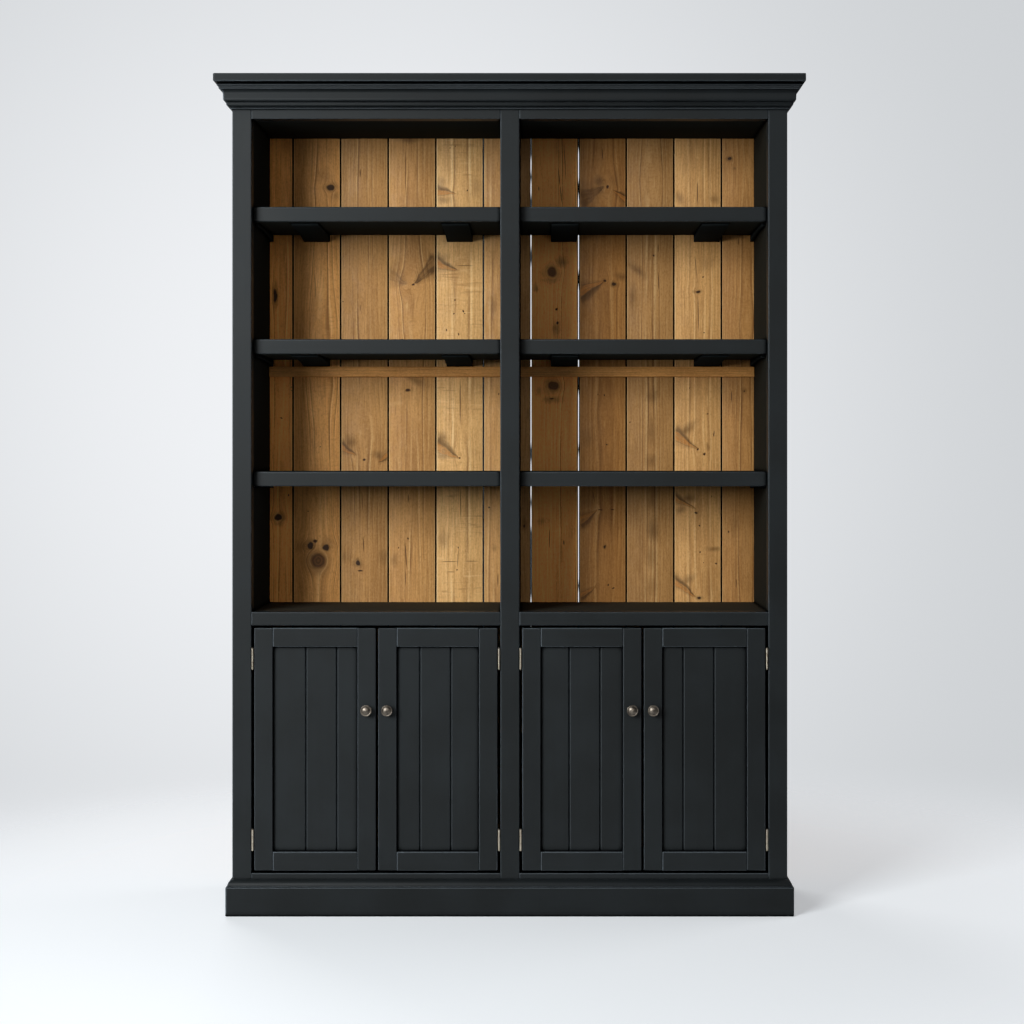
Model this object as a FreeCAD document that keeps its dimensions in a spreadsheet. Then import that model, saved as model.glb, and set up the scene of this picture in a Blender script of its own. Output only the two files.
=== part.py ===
# Two-bay bookcase in painted timber: open shelves above, four doors below,
# a stepped cornice, a plinth and a back of vertical pine boards.
# Millimetres, +Z up, front towards -Y, origin on the floor under the middle.
import FreeCAD, Part
import math
import os
import re

import Sketcher

doc = FreeCAD.newDocument("bookcase")

# name, value, what it measures
sizeRows = [
    # the case as a whole
    ("caseWide", 1310, "over the outer faces of the sides"),
    ("caseDeep", 310, "post face to rear of the sides"),
    ("fullTall", 1980, "floor to top of the top board"),
    ("postWide", 45, "face-frame posts, sides and divider"),
    ("railThick", 27, "thickness of the face frame"),
    ("postEase", 1.5, "eased long edges of the posts"),
    ("railEase", 1, "eased front edges of the rails"),
    ("housingDeep", 8, "housings in the sides and divider"),
    ("rebateWide", 12, "rear rebate of a side, for the back"),
    # top board and cornice
    ("topBoardThick", 19, "top board"),
    ("topBoardOut", 39, "overhang of the top board, front and sides"),
    ("topBoardRound", 1.5, "eased edge of the top board"),
    ("corniceTall", 60, "cornice moulding under the top board"),
    ("corniceOut", 32, "projection of the cornice moulding"),
    ("friezeShow", 21.5, "rail seen under the cornice"),
    ("ceilingLift", 4.5, "top panel above the frieze rail's lower edge"),
    ("panelThick", 18, "top panel and cupboard floors"),
    # shelves
    ("shelfThick", 35, "open shelves"),
    ("shelfSetBack", 28, "shelf front behind the post face"),
    ("shelfEase", 2.5, "rounded front edges of a shelf"),
    ("shelfEndGap", 1.2, "shelf end to the outer side"),
    ("deckTall", 716, "top of the deck over the cupboards"),
    ("deckThick", 22, "deck"),
    # bearers, cleats and back rails
    ("bearerWide", 65.5, "cross bearer under a shelf"),
    ("bearerNose", 5, "bearer thickness at its front end"),
    ("bearerHeel", 17.6, "bearer thickness at the back"),
    ("bearerSetBack", 24, "bearer front behind the shelf front"),
    ("bearerOuterInset", 119, "outer bearer's centre line from the wall"),
    ("bearerInnerInset", 108.7, "inner bearer's centre line from the centre post"),
    ("cleatThick", 9.5, "end cleat, out from the wall"),
    ("cleatNose", 8, "end cleat height at its front"),
    ("cleatHeel", 17.4, "end cleat height at the back"),
    ("lowCleatTall", 8.5, "cleat height under the lowest shelf"),
    ("backRailTall", 25.5, "back rail under the middle shelf"),
    ("backRailThick", 12, "back rail"),
    # back boards
    ("backThick", 16, "back boards"),
    ("backPitch", 120, "joint to joint of the back boards"),
    ("backStart", 58.3, "first joint inside the left bay's wall"),
    ("backJoint", 0.5, "closed joint between back boards"),
    ("backShrink", 2.8, "joint that has opened by shrinkage"),
    ("backEase", 1.2, "eased edges of a back board"),
    ("backLift", 30, "back boards above the floor"),
    # rails of the face frame
    ("middleRailTall", 32.5, "rail in front of the deck"),
    ("bottomRailTop", 100, "top of the bottom rail"),
    ("bottomRailLift", 30, "bottom rail above the floor"),
    # plinth
    ("plinthTall", 68, "flat of the plinth board"),
    ("plinthMould", 18, "moulded top of the plinth"),
    ("plinthOut", 14, "plinth in front of the posts"),
    ("plinthRound", 3, "rounded lower edge of the plinth"),
    # doors
    ("hingeGap", 6, "post to the hinged edge of a door"),
    ("meetGap", 4, "between the doors of a pair"),
    ("doorShift", 2.75, "outer doors wider and inner doors narrower by this"),
    ("doorGap", 5, "above and below a door"),
    ("doorThick", 20, "door frame"),
    ("doorFrame", 45, "width of door stiles and rails"),
    ("doorEase", 1, "eased front edges of the door frame"),
    ("panelSetBack", 8, "panel face behind the door face"),
    ("plankThick", 9, "tongued boards of the panel"),
    ("grooveDeep", 8, "panel groove in stiles and rails"),
    ("grooveGap", 0.2, "clearance of a panel or tenon in its groove"),
    ("plankOuter", 76.5, "sight width of the board at an outer door's hinge stile"),
    ("plankInner", 66.5, "sight width of the board at an inner door's hinge stile"),
    ("plankSecond", 73, "sight width of the middle board"),
    ("plankVee", 2.5, "V joint between the tongued boards"),
    ("tongueThick", 3, "tongue"),
    ("tongueLong", 4, "tongue"),
    # knobs
    ("knobTall", 485, "knob centre above the floor"),
    ("knobRadius", 13.4, "head of a knob"),
    ("knobOut", 22.5, "door face to the crown of the knob"),
    # butt hinges
    ("hingeInset", 73, "hinge centre to the end of the door"),
    ("hingeLong", 50, "knuckles, end to end"),
    ("knuckleRadius", 2.8, "knuckle"),
    ("knuckleProud", 1, "hinge axis in front of the post face"),
    ("knuckleGap", 0.3, "between knuckles, and round them"),
    ("pinRadius", 1.4, "hinge pin"),
    ("pinGap", 0.05, "running clearance round the pin"),
    ("leafThick", 1.6, "hinge leaf"),
    ("leafDeep", 17, "hinge axis to the rear edge of a leaf"),
    # cupboard fittings
    ("cupboardShelfTall", 388, "top of the shelf in a cupboard"),
    ("cupboardShelfSetBack", 48, "cupboard shelf behind the post face"),
    ("cupboardShelfGap", 1, "cupboard shelf end to the wall"),
    ("ledgerThick", 15, "ledger under the cupboard shelf"),
    ("ledgerTall", 25, "ledger under the cupboard shelf"),
    ("catchWide", 42, "magnetic catch"),
    ("catchDeep", 30, "magnetic catch"),
    ("catchTall", 13, "magnetic catch"),
    ("catchGap", 0.3, "catch to strike plate"),
    ("poleThick", 2, "steel pole of a catch"),
    ("poleOut", 1.5, "steel pole in front of the catch body"),
    ("strikeThick", 1.2, "strike plate"),
    ("strikeTall", 16, "strike plate"),
    ("strikeWide", 36, "strike plate"),
    ("cutOver", 1, "overrun of every cut"),
]

sheet = doc.addObject("Spreadsheet::Sheet", "sizes")
for row, (alias, amount, note) in enumerate(sizeRows, start=1):
    sheet.set(f"A{row}", alias)
    sheet.set(f"B{row}", str(amount))
    sheet.set(f"C{row}", note)
    sheet.setAlias(f"B{row}", alias)
doc.recompute()

aliases = [alias for alias, amount, note in sizeRows]
aliasWord = re.compile(r"\b(" + "|".join(aliases) + r")\b")


def inSheet(text):
    """The text with each size named as a cell of the sheet."""
    return aliasWord.sub(r"sizes.\1", str(text))


def size(text):
    """The number that a sum of named sizes comes to."""
    return float(sheet.evalExpression(inSheet(text)))


def bind(thing, prop, text):
    thing.setExpression(prop, inSheet(text))


def minus(a, b):
    return f"({a}) - ({b})"


def mirrored(sign, near, far):
    """A span from near to far of the middle plane, on the side of sign."""
    return (near, far) if sign > 0 else (f"-({far})", f"-({near})")


# ---------------------------------------------------------------- building

originOf = {}


def newBody(label, x, y, z):
    body = doc.addObject("PartDesign::Body", label)
    body.Label = label
    for axis, text in zip("xyz", (x, y, z)):
        bind(body, f"Placement.Base.{axis}", text)
    originOf[body.Name] = (x, y, z)
    return body


def addBlock(body, kind, x, y, z):
    """A box feature of the body between the given spans of the case."""
    block = body.newObject(f"PartDesign::{kind}Box", f"{body.Name}{kind}")
    for prop, span in zip(("Length", "Width", "Height"), (x, y, z)):
        bind(block, prop, minus(span[1], span[0]))
    for axis, span, start in zip("xyz", (x, y, z), originOf[body.Name]):
        bind(block, f"Placement.Base.{axis}", minus(span[0], start))
    return block


def pickEdges(shape, wanted):
    """Names of the edges whose middles, as shares of the box, suit wanted."""
    box = shape.BoundBox
    names = []
    for index, edge in enumerate(shape.Edges, start=1):
        middle = edge.valueAt((edge.FirstParameter + edge.LastParameter) / 2)
        across = (middle.x - box.XMin) / box.XLength
        deep = (middle.y - box.YMin) / box.YLength
        up = (middle.z - box.ZMin) / box.ZLength
        if wanted(round(across, 3), round(deep, 3), round(up, 3)):
            names.append(f"Edge{index}")
    return names


def ease(body, kind, amount, wanted):
    """Rounds (Fillet) or flattens (Chamfer) the wanted edges of the body."""
    doc.recompute()
    before = body.Tip
    names = pickEdges(before.Shape, wanted)
    dress = body.newObject(f"PartDesign::{kind}", f"{body.Name}{kind}")
    dress.Base = (before, names)
    bind(dress, "Radius" if kind == "Fillet" else "Size", amount)
    return dress


def board(label, x, y, z, eased=None, easeBy=None, kind="Chamfer"):
    body = newBody(label, x[0], y[0], z[0])
    addBlock(body, "Additive", x, y, z)
    if eased:
        ease(body, kind, easeBy, eased)
    return body


def bulgedArc(a, b, bulgeShare):
    """The arc from a to b, out to the right of the way from a to b.

    Its height is the share of its chord; a negative share bulges to the left.
    """
    if bulgeShare < 0:
        a, b = b, a
    chord = b - a
    rise = abs(bulgeShare) * chord.Length
    radius = (chord.Length ** 2 / 4 + rise ** 2) / (2 * rise)
    left = FreeCAD.Vector(-chord.y, chord.x, 0).normalize()
    centre = (a + b) / 2 + left * (radius - rise)
    circle = Part.Circle(centre, FreeCAD.Vector(0, 0, 1), radius)
    first = math.atan2(a.y - centre.y, a.x - centre.x)
    last = math.atan2(b.y - centre.y, b.x - centre.x)
    return Part.ArcOfCircle(circle, first, last)


def outline(body, role, points, name="outline"):
    """A closed sketch on an origin plane through points (across, up, bulge)."""
    sketch = body.newObject("Sketcher::SketchObject", f"{body.Name}{name}")
    plane = [item for item in body.Origin.OriginFeatures if item.Role == role][0]
    sketch.AttachmentSupport = (plane, [""])
    sketch.MapMode = "FlatFace"
    spots = [FreeCAD.Vector(size(point[0]), size(point[1]), 0) for point in points]
    startEnd = []
    for index, point in enumerate(points):
        a, b = spots[index], spots[(index + 1) % len(points)]
        bulgeShare = point[2] if len(point) > 2 else 0
        if bulgeShare:
            sketch.addGeometry(bulgedArc(a, b, bulgeShare), False)
            startEnd.append((1, 2) if bulgeShare > 0 else (2, 1))
        else:
            sketch.addGeometry(Part.LineSegment(a, b), False)
            startEnd.append((1, 2))
    for index, point in enumerate(points):
        after = (index + 1) % len(points)
        sketch.addConstraint(Sketcher.Constraint(
            "Coincident", index, startEnd[index][1], after, startEnd[after][0]))
    for index, point in enumerate(points):
        start = startEnd[index][0]
        for direction, text, at in (("DistanceX", point[0], spots[index].x),
                                    ("DistanceY", point[1], spots[index].y)):
            number = sketch.addConstraint(
                Sketcher.Constraint(direction, -1, 1, index, start, at))
            bind(sketch, f"Constraints[{number}]", text)
    return sketch


def pad(body, sketch, length, back=False):
    feature = body.newObject("PartDesign::Pad", f"{body.Name}Pad")
    feature.Profile = sketch
    bind(feature, "Length", length)
    feature.Reversed = back
    return feature


def cutThrough(body, sketch, back):
    """A pocket through everything, which has to take something away."""
    doc.recompute()
    before = body.Shape.Volume
    feature = body.newObject("PartDesign::Pocket", f"{body.Name}Cut")
    feature.Profile = sketch
    feature.Type = "ThroughAll"
    feature.Reversed = back
    doc.recompute()
    if not body.Shape.Volume < before:
        raise RuntimeError(f"{body.Label}: a cut takes nothing away")
    return feature


nodes = {}


def node(label, *pieces):
    """The piece, or the group of like pieces, that is one sub-part."""
    if len(pieces) == 1:
        pieces[0].Label = label
        nodes[label] = pieces[0]
    else:
        group = doc.addObject("Part::Compound", label)
        group.Label = label
        group.Links = list(pieces)
        nodes[label] = group
    return nodes[label]


# ------------------------------------------------------------- main planes

rear = "(caseDeep + topBoardOut) / 2"
face = f"({rear} - caseDeep)"
frameBack = f"({face} + railThick)"
backFace = f"({rear} - backThick)"
halfCase = "caseWide / 2"
wall = "(caseWide / 2 - postWide)"
halfPost = "postWide / 2"
bayWide = f"({wall} - {halfPost})"
caseTop = "(fullTall - topBoardThick)"
friezeLow = f"({caseTop} - corniceTall - friezeShow)"
ceiling = f"({friezeLow} + ceilingLift)"
# clear heights under the three shelves, as shares of the open height
lowerShare, middleShare, upperShare = 0.27846, 0.26294, 0.26293
openClear = f"({ceiling} - deckTall - 3 * shelfThick)"
lowerLow = f"(deckTall + {lowerShare} * {openClear})"
lowerTop = f"({lowerLow} + shelfThick)"
middleLow = f"({lowerTop} + {middleShare} * {openClear})"
middleTop = f"({middleLow} + shelfThick)"
upperLow = f"({middleTop} + {upperShare} * {openClear})"
upperTop = f"({upperLow} + shelfThick)"
shelfFront = f"({face} + shelfSetBack)"
bays = (("left", -1), ("right", 1))
tiers = (("lower", lowerLow, lowerTop), ("middle", middleLow, middleTop),
         ("upper", upperLow, upperTop))
floorSpan = ("bottomRailTop - panelThick", "bottomRailTop")
deckSpan = ("deckTall - deckThick", "deckTall")
ceilingSpan = (ceiling, f"{ceiling} + panelThick")


def frontLong(across, deep, up):
    return deep == 0 and across == 0.5


def frontUpright(across, deep, up):
    return deep == 0 and up == 0.5


# --------------------------------------------------------- sides, divider

for bay, sign in bays:
    x = mirrored(sign, wall, halfCase)
    body = newBody(f"side_{bay}", x[0], frameBack, "0")
    addBlock(body, "Additive", x, (frameBack, rear), ("0", caseTop))
    rebate = mirrored(sign, f"{wall} - cutOver", f"{wall} + rebateWide")
    addBlock(body, "Subtractive", rebate, (backFace, f"{rear} + cutOver"),
             ("-cutOver", f"{caseTop} + cutOver"))
    groove = mirrored(sign, f"{wall} - cutOver", f"{wall} + housingDeep")
    for span in (floorSpan, deckSpan, ceilingSpan):
        addBlock(body, "Subtractive", groove,
                 (f"{frameBack} - cutOver", f"{backFace} + cutOver"), span)
    node(f"side_{bay}", body)

divider = newBody("divider", f"-{halfPost}", frameBack, "0")
addBlock(divider, "Additive", (f"-{halfPost}", halfPost), (frameBack, backFace),
         ("0", caseTop))
for bay, sign in bays:
    groove = mirrored(sign, f"{halfPost} - housingDeep", f"{halfPost} + cutOver")
    for span in (floorSpan, deckSpan, ceilingSpan):
        addBlock(divider, "Subtractive", groove,
                 (f"{frameBack} - cutOver", f"{backFace} + cutOver"), span)
    for tier, low, top in tiers:
        addBlock(divider, "Subtractive", groove,
                 (shelfFront, f"{backFace} + cutOver"), (low, top))
node("divider", divider)

# --------------------------------------------------------------- face frame

posts = (("left", f"-({halfCase})", f"-{wall}"),
         ("centre", f"-{halfPost}", halfPost),
         ("right", wall, halfCase))
for name, low, high in posts:
    node(f"post_{name}", board(f"post_{name}", (low, high), (face, frameBack),
                               ("0", caseTop), frontUpright, "postEase", "Fillet"))

rails = (("frieze_rails", friezeLow, caseTop),
         ("middle_rails", "deckTall - middleRailTall", "deckTall"),
         ("bottom_rails", "bottomRailLift", "bottomRailTop"))
for name, low, high in rails:
    pair = [board(f"{name}_{bay}", mirrored(sign, halfPost, wall),
                  (face, frameBack), (low, high), frontLong, "railEase")
            for bay, sign in bays]
    node(name, *pair)

# ------------------------------------------- panels, deck, floors, shelves

housed = (f"{halfPost} - housingDeep", f"{wall} + housingDeep")
for name, span in (("top_panels", ceilingSpan), ("decks", deckSpan),
                   ("cupboard_floors", floorSpan)):
    node(name, *[board(f"{name}_{bay}", mirrored(sign, *housed),
                       (frameBack, backFace), span) for bay, sign in bays])

for bay, sign in bays:
    x = mirrored(sign, f"{halfPost} - housingDeep", f"{wall} - shelfEndGap")
    for tier, low, top in tiers:
        name = f"shelf_{bay}_{tier}"
        node(name, board(name, x, (shelfFront, backFace), (low, top),
                         frontLong, "shelfEase", "Fillet"))

# --------------------------------------- what carries the shelves: tapered
# cross bearers, end cleats on the outer walls, and a rail across each bay

bearerFront = f"({shelfFront} + bearerSetBack)"


def taperedBoard(label, x, top, nose, heel):
    """A board under a shelf that thins towards the front."""
    body = newBody(label, x[0], bearerFront, top)
    deep = minus(backFace, bearerFront)
    sketch = outline(body, "YZ_Plane", [
        ("0", "0"), ("0", f"-({nose})", taperShare),
        (deep, f"-({heel})"), (deep, "0")])
    pad(body, sketch, minus(x[1], x[0]))
    return body


taperShare = -0.02
bearers = []
cleats = []
for bay, sign in bays:
    for tier, low, top in tiers:
        if tier != "lower":
            for name, middle in (("outer", f"({wall} - bearerOuterInset)"),
                                 ("inner", f"({halfPost} + bearerInnerInset)")):
                x = mirrored(sign, f"{middle} - bearerWide / 2",
                             f"{middle} + bearerWide / 2")
                bearers.append(taperedBoard(f"bearer_{bay}_{tier}_{name}", x, low,
                                            "bearerNose", "bearerHeel"))
        x = mirrored(sign, f"{wall} - cleatThick", wall)
        nose, heel = (("lowCleatTall / 2", "lowCleatTall") if tier == "lower"
                      else ("cleatNose", "cleatHeel"))
        cleats.append(taperedBoard(f"cleat_{bay}_{tier}", x, low, nose, heel))
node("shelf_bearers", *bearers)
node("end_cleats", *cleats)

railTop = f"({middleLow} - bearerHeel)"
node("back_rails", *[
    board(f"back_rail_{bay}", mirrored(sign, halfPost, wall),
          (f"{backFace} - backRailThick", backFace),
          (f"{railTop} - backRailTall", railTop),
          lambda across, deep, up: deep == 0 and across == 0.5, "backEase")
    for bay, sign in bays])

# ---------------------------------------------------------------- the back

# The boards run behind both bays; two joints in the right bay have opened.
openJoints = (5, 6)
backEdge = f"({wall} + rebateWide)"
firstJoint = f"(-{wall} + backStart)"
jointCount = 1 + int((size(f"{wall} - ({firstJoint})")) // size("backPitch"))
joints = []
for number in range(jointCount):
    gap = "backShrink" if number in openJoints else "backJoint"
    joints.append((f"{firstJoint} + {number} * backPitch", gap))
edges = [(f"-{backEdge}", f"-{backEdge}")]
edges += [(f"{at} - {gap} / 2", f"{at} + {gap} / 2") for at, gap in joints]
edges += [(backEdge, backEdge)]
planks = []
for number in range(jointCount + 1):
    planks.append(board(
        f"back_board_{number + 1:02d}", (edges[number][1], edges[number + 1][0]),
        (backFace, rear), ("backLift", caseTop), frontUpright, "backEase"))
node("back_boards", *planks)

# ------------------------------------------------------ top board, cornice

halfTop = f"({halfCase} + topBoardOut)"
topBoard = board("top_board", (f"-{halfTop}", halfTop),
                 (f"{face} - topBoardOut", rear), (caseTop, "fullTall"),
                 lambda across, deep, up: deep < 1 and (deep == 0 or across in (0, 1)),
                 "topBoardRound")
node("top_board", topBoard)

# The moulding in section, out from the case and up from its lower edge:
# fillet, ovolo, step, a face that coves outwards, fillet, bead and quirk.
corniceShares = [
    (0, 0), (0.045, 0), (0.14, 0.05), (0.14, 0.088), (0.20, 0.096, 0.26),
    (0.375, 0.235), (0.375, 0.272), (0.47, 0.285, 0.18), (0.575, 0.38),
    (0.59, 0.59, -0.15), (0.80, 0.735), (0.86, 0.755), (0.87, 0.815),
    (0.91, 0.845, 0.35), (0.94, 0.935), (0.74, 0.935), (0.74, 1), (0, 1)]


def moulding(label, shares, out, tall, low, side):
    """A moulding along the front (side 0) or along one side of the case.

    Both ends at the corners are mitred; a return is square at the rear.
    """
    along = f"(caseWide + 2 * ({out}))" if side == 0 else f"(caseDeep + {out})"
    points = []
    for point in shares:
        across = f"{point[0]} * {out}"
        if side <= 0:
            across = f"-({across})"
        up = f"{point[1]} * {tall}"
        bulge = point[2] if len(point) > 2 else 0
        points.append((across, up, bulge if side > 0 else -bulge))
    if side == 0:
        body = newBody(label, f"-({halfCase} + {out})", face, low)
        sketch = outline(body, "YZ_Plane", points)
        pad(body, sketch, along)
        ends = (("0", f"-({out})", "0", "0", f"{out}", "0"),
                (along, f"-({out})", along, "0", f"{along} - ({out})", "0"))
        back = True
    else:
        body = newBody(label, halfCase if side > 0 else f"-({halfCase})",
                       f"{face} - ({out})", low)
        sketch = outline(body, "XZ_Plane", points)
        pad(body, sketch, along, back=True)
        far = out if side > 0 else f"-({out})"
        ends = (("0", "0", far, "0", "0", out),)
        back = True
    for number, end in enumerate(ends):
        cut = outline(body, "XY_Plane", mitreCorners(end), f"mitre{number}")
        cutThrough(body, cut, back)
    return body


def mitreCorners(end):
    """A triangle grown past the moulding on the side that is cut away."""
    x1, y1, x2, y2, x3, y3 = end
    return [(x1, y1), (x2, y2), (x3, y3)]


for name, side in (("front", 0), ("return_left", -1), ("return_right", 1)):
    node(f"cornice_{name}", moulding(f"cornice_{name}", corniceShares, "corniceOut",
                                     "corniceTall", f"{caseTop} - corniceTall", side))

# The plinth board, moulded along its top where it meets the posts.
plinthFlatShare = size("plinthTall / (plinthTall + plinthMould)")
plinthRoundShares = (size("plinthRound / plinthOut"),
                     size("plinthRound / (plinthTall + plinthMould)"))
mouldShare = 1 - plinthFlatShare
plinthShares = [
    (0, 0), (1 - plinthRoundShares[0], 0, 0.207), (1, plinthRoundShares[1]),
    (1, plinthFlatShare, 0.1), (0.93, plinthFlatShare + 0.05 * mouldShare),
    (0.76, plinthFlatShare + 0.07 * mouldShare, 0.14), (0.06, 1), (0, 1)]
for name, side in (("front", 0), ("return_left", -1), ("return_right", 1)):
    node(f"plinth_{name}", moulding(f"plinth_{name}", plinthShares, "plinthOut",
                                    "(plinthTall + plinthMould)", "0", side))

# ------------------------------------------------------- inside a cupboard

shelfTop = "cupboardShelfTall"
shelfLow = "(cupboardShelfTall - panelThick)"
innerFront = f"({face} + cupboardShelfSetBack)"
node("cupboard_shelves", *[
    board(f"cupboard_shelf_{bay}",
          mirrored(sign, f"{halfPost} + cupboardShelfGap", f"{wall} - cupboardShelfGap"),
          (innerFront, backFace), (shelfLow, shelfTop), frontLong, "railEase")
    for bay, sign in bays])
ledgers = []
for bay, sign in bays:
    for name, span in (("inner", (halfPost, f"{halfPost} + ledgerThick")),
                       ("outer", (f"{wall} - ledgerThick", wall))):
        ledgers.append(board(f"ledger_{bay}_{name}", mirrored(sign, *span),
                             (innerFront, backFace), (f"{shelfLow} - ledgerTall", shelfLow)))
node("cupboard_ledgers", *ledgers)

# -------------------------------------------------------------------- doors

doorWide = f"(({bayWide} - 2 * hingeGap - meetGap) / 2)"
doorLow = "(bottomRailTop + doorGap)"
doorHigh = "(deckTall - middleRailTall - doorGap)"
doorBack = f"({face} + doorThick)"
panelFront = f"({face} + panelSetBack)"
panelBack = f"({panelFront} + plankThick)"
hingeLine = f"({face} - knuckleProud)"
doorPosts = (("1", f"(-{wall})", 1), ("2", f"(-{halfPost})", -1),
             ("3", halfPost, 1), ("4", wall, -1))


def across(start, turn, near, far):
    """The span from near to far of a post face, into the bay."""
    if turn > 0:
        return (f"{start} + ({near})", f"{start} + ({far})")
    return (f"{start} - ({far})", f"{start} - ({near})")


def doorStile(label, x, grooveX):
    body = board(label, x, (face, doorBack), (doorLow, doorHigh))
    addBlock(body, "Subtractive", grooveX,
             (f"{panelFront} - grooveGap / 2", f"{panelBack} + grooveGap / 2"),
             (f"{doorLow} - cutOver", f"{doorHigh} + cutOver"))
    ease(body, "Chamfer", "doorEase", lambda u, v, w: v == 0)
    return body


def doorRail(label, x, z, grooveZ):
    """A rail with stub tenons that fill the grooves of the stiles."""
    body = board(label, x, (face, doorBack), z)
    ease(body, "Chamfer", "doorEase", frontLong)
    tenon = (f"{x[0]} - grooveDeep + grooveGap", f"{x[1]} + grooveDeep - grooveGap")
    addBlock(body, "Additive", tenon, (panelFront, panelBack), z)
    addBlock(body, "Subtractive", (f"{tenon[0]} - cutOver", f"{tenon[1]} + cutOver"),
             (f"{panelFront} - grooveGap / 2", f"{panelBack} + grooveGap / 2"), grooveZ)
    return body


def panelPlank(label, x, low, high, grooved, tongued):
    """One upright board: V-jointed, grooved on its left, tongued on its right."""
    body = newBody(label, x[0], panelFront, low)
    wide = minus(x[1], x[0])
    tongueLow = "((plankThick - tongueThick) / 2 + plankVee / 2)"
    tongueHigh = f"({tongueLow} + tongueThick)"
    points = []
    if grooved:
        points += [("plankVee", "0"), (wide if not tongued else minus(wide, "plankVee"), "0")]
    else:
        points += [("0", "0"), (minus(wide, "plankVee"), "0")]
    if tongued:
        points += [(wide, "plankVee"), (wide, tongueLow),
                   (f"{wide} + tongueLong", tongueLow), (f"{wide} + tongueLong", tongueHigh),
                   (wide, tongueHigh), (wide, "plankThick")]
    else:
        points += [(wide, "plankThick")]
    points += [("0", "plankThick")]
    if grooved:
        points += [("0", f"{tongueHigh} + grooveGap"),
                   ("tongueLong + grooveGap", f"{tongueHigh} + grooveGap"),
                   ("tongueLong + grooveGap", f"{tongueLow} - grooveGap"),
                   ("0", f"{tongueLow} - grooveGap"), ("0", "plankVee")]
    pad(body, outline(body, "XY_Plane", points), minus(high, low))
    return body


# The knob in section, out from its axis and out from the door: foot, neck,
# flare, rim and a low dome.
knobShares = [(0, 0), (0.59, 0), (0.59, 0.10), (0.34, 0.10), (0.34, 0.40),
              (1, 0.66), (1, 0.82), (0.42, 1), (0, 1)]


def doorKnob(label, x):
    """A turned knob that seats on the face of the stile."""
    knob = newBody(label, x, face, "knobTall")
    sketch = outline(knob, "XY_Plane", [
        (f"{out} * knobRadius", f"-{forward} * knobOut") for out, forward in knobShares])
    turn = knob.newObject("PartDesign::Revolution", f"{label}Turn")
    turn.Profile = sketch
    turn.ReferenceAxis = (sketch, ["V_Axis"])
    return knob


def hingeLeaf(label, start, turn, low, parts, onDoor):
    """A leaf with its knuckles, bored for the pin on the door edge.

    The pin is a press fit in the post leaf, so the two are one piece there.
    """
    plateX = across(start, turn, *(("hingeGap - leafThick", "hingeGap") if onDoor
                                   else ("0", "leafThick")))
    axisX = f"{start} + {turn} * hingeGap / 2"
    pieces = []

    def box(name, x, y, z):
        block = doc.addObject("Part::Box", f"{label}{name}")
        for prop, span in zip(("Length", "Width", "Height"), (x, y, z)):
            bind(block, prop, minus(span[1], span[0]))
        for axis, span in zip("xyz", (x, y, z)):
            bind(block, f"Placement.Base.{axis}", span[0])
        pieces.append(block)

    def round(name, kind, z, **radii):
        block = doc.addObject(f"Part::{kind}", f"{label}{name}")
        for prop, text in radii.items():
            bind(block, prop, text)
        bind(block, "Height", minus(z[1], z[0]))
        for axis, text in zip("xyz", (axisX, hingeLine, z[0])):
            bind(block, f"Placement.Base.{axis}", text)
        return block

    clearOf = f"{hingeLine} + knuckleRadius + knuckleGap"
    high = f"{low} + hingeLong"
    box("Plate", plateX, (clearOf, f"{hingeLine} + leafDeep"), (low, high))
    for number, (first, last) in enumerate(parts):
        z = (f"{low} + {first}", f"{low} + {last}")
        pieces.append(round(f"Knuckle{number}", "Cylinder", z, Radius="knuckleRadius"))
        box(f"Tongue{number}", plateX, (hingeLine, f"{clearOf} + knuckleGap"), z)
    if not onDoor:
        pieces.append(round("Pin", "Cylinder", (low, high), Radius="pinRadius"))
    solid = doc.addObject("Part::MultiFuse", f"{label}Solid" if onDoor else label)
    solid.Shapes = pieces
    solid.Refine = True
    if not onDoor:
        return solid
    bore = round("Bore", "Cylinder", (f"{low} - cutOver", f"{high} + cutOver"),
                 Radius="pinRadius + pinGap")
    leaf = doc.addObject("Part::Cut", label)
    leaf.Base = solid
    leaf.Tool = bore
    return leaf


third = "(hingeLong - 2 * knuckleGap) / 3"
postKnuckles = (("0", third), (f"2 * {third} + 2 * knuckleGap", "hingeLong"))
doorKnuckles = ((f"{third} + knuckleGap", f"2 * {third} + knuckleGap"),)

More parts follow.
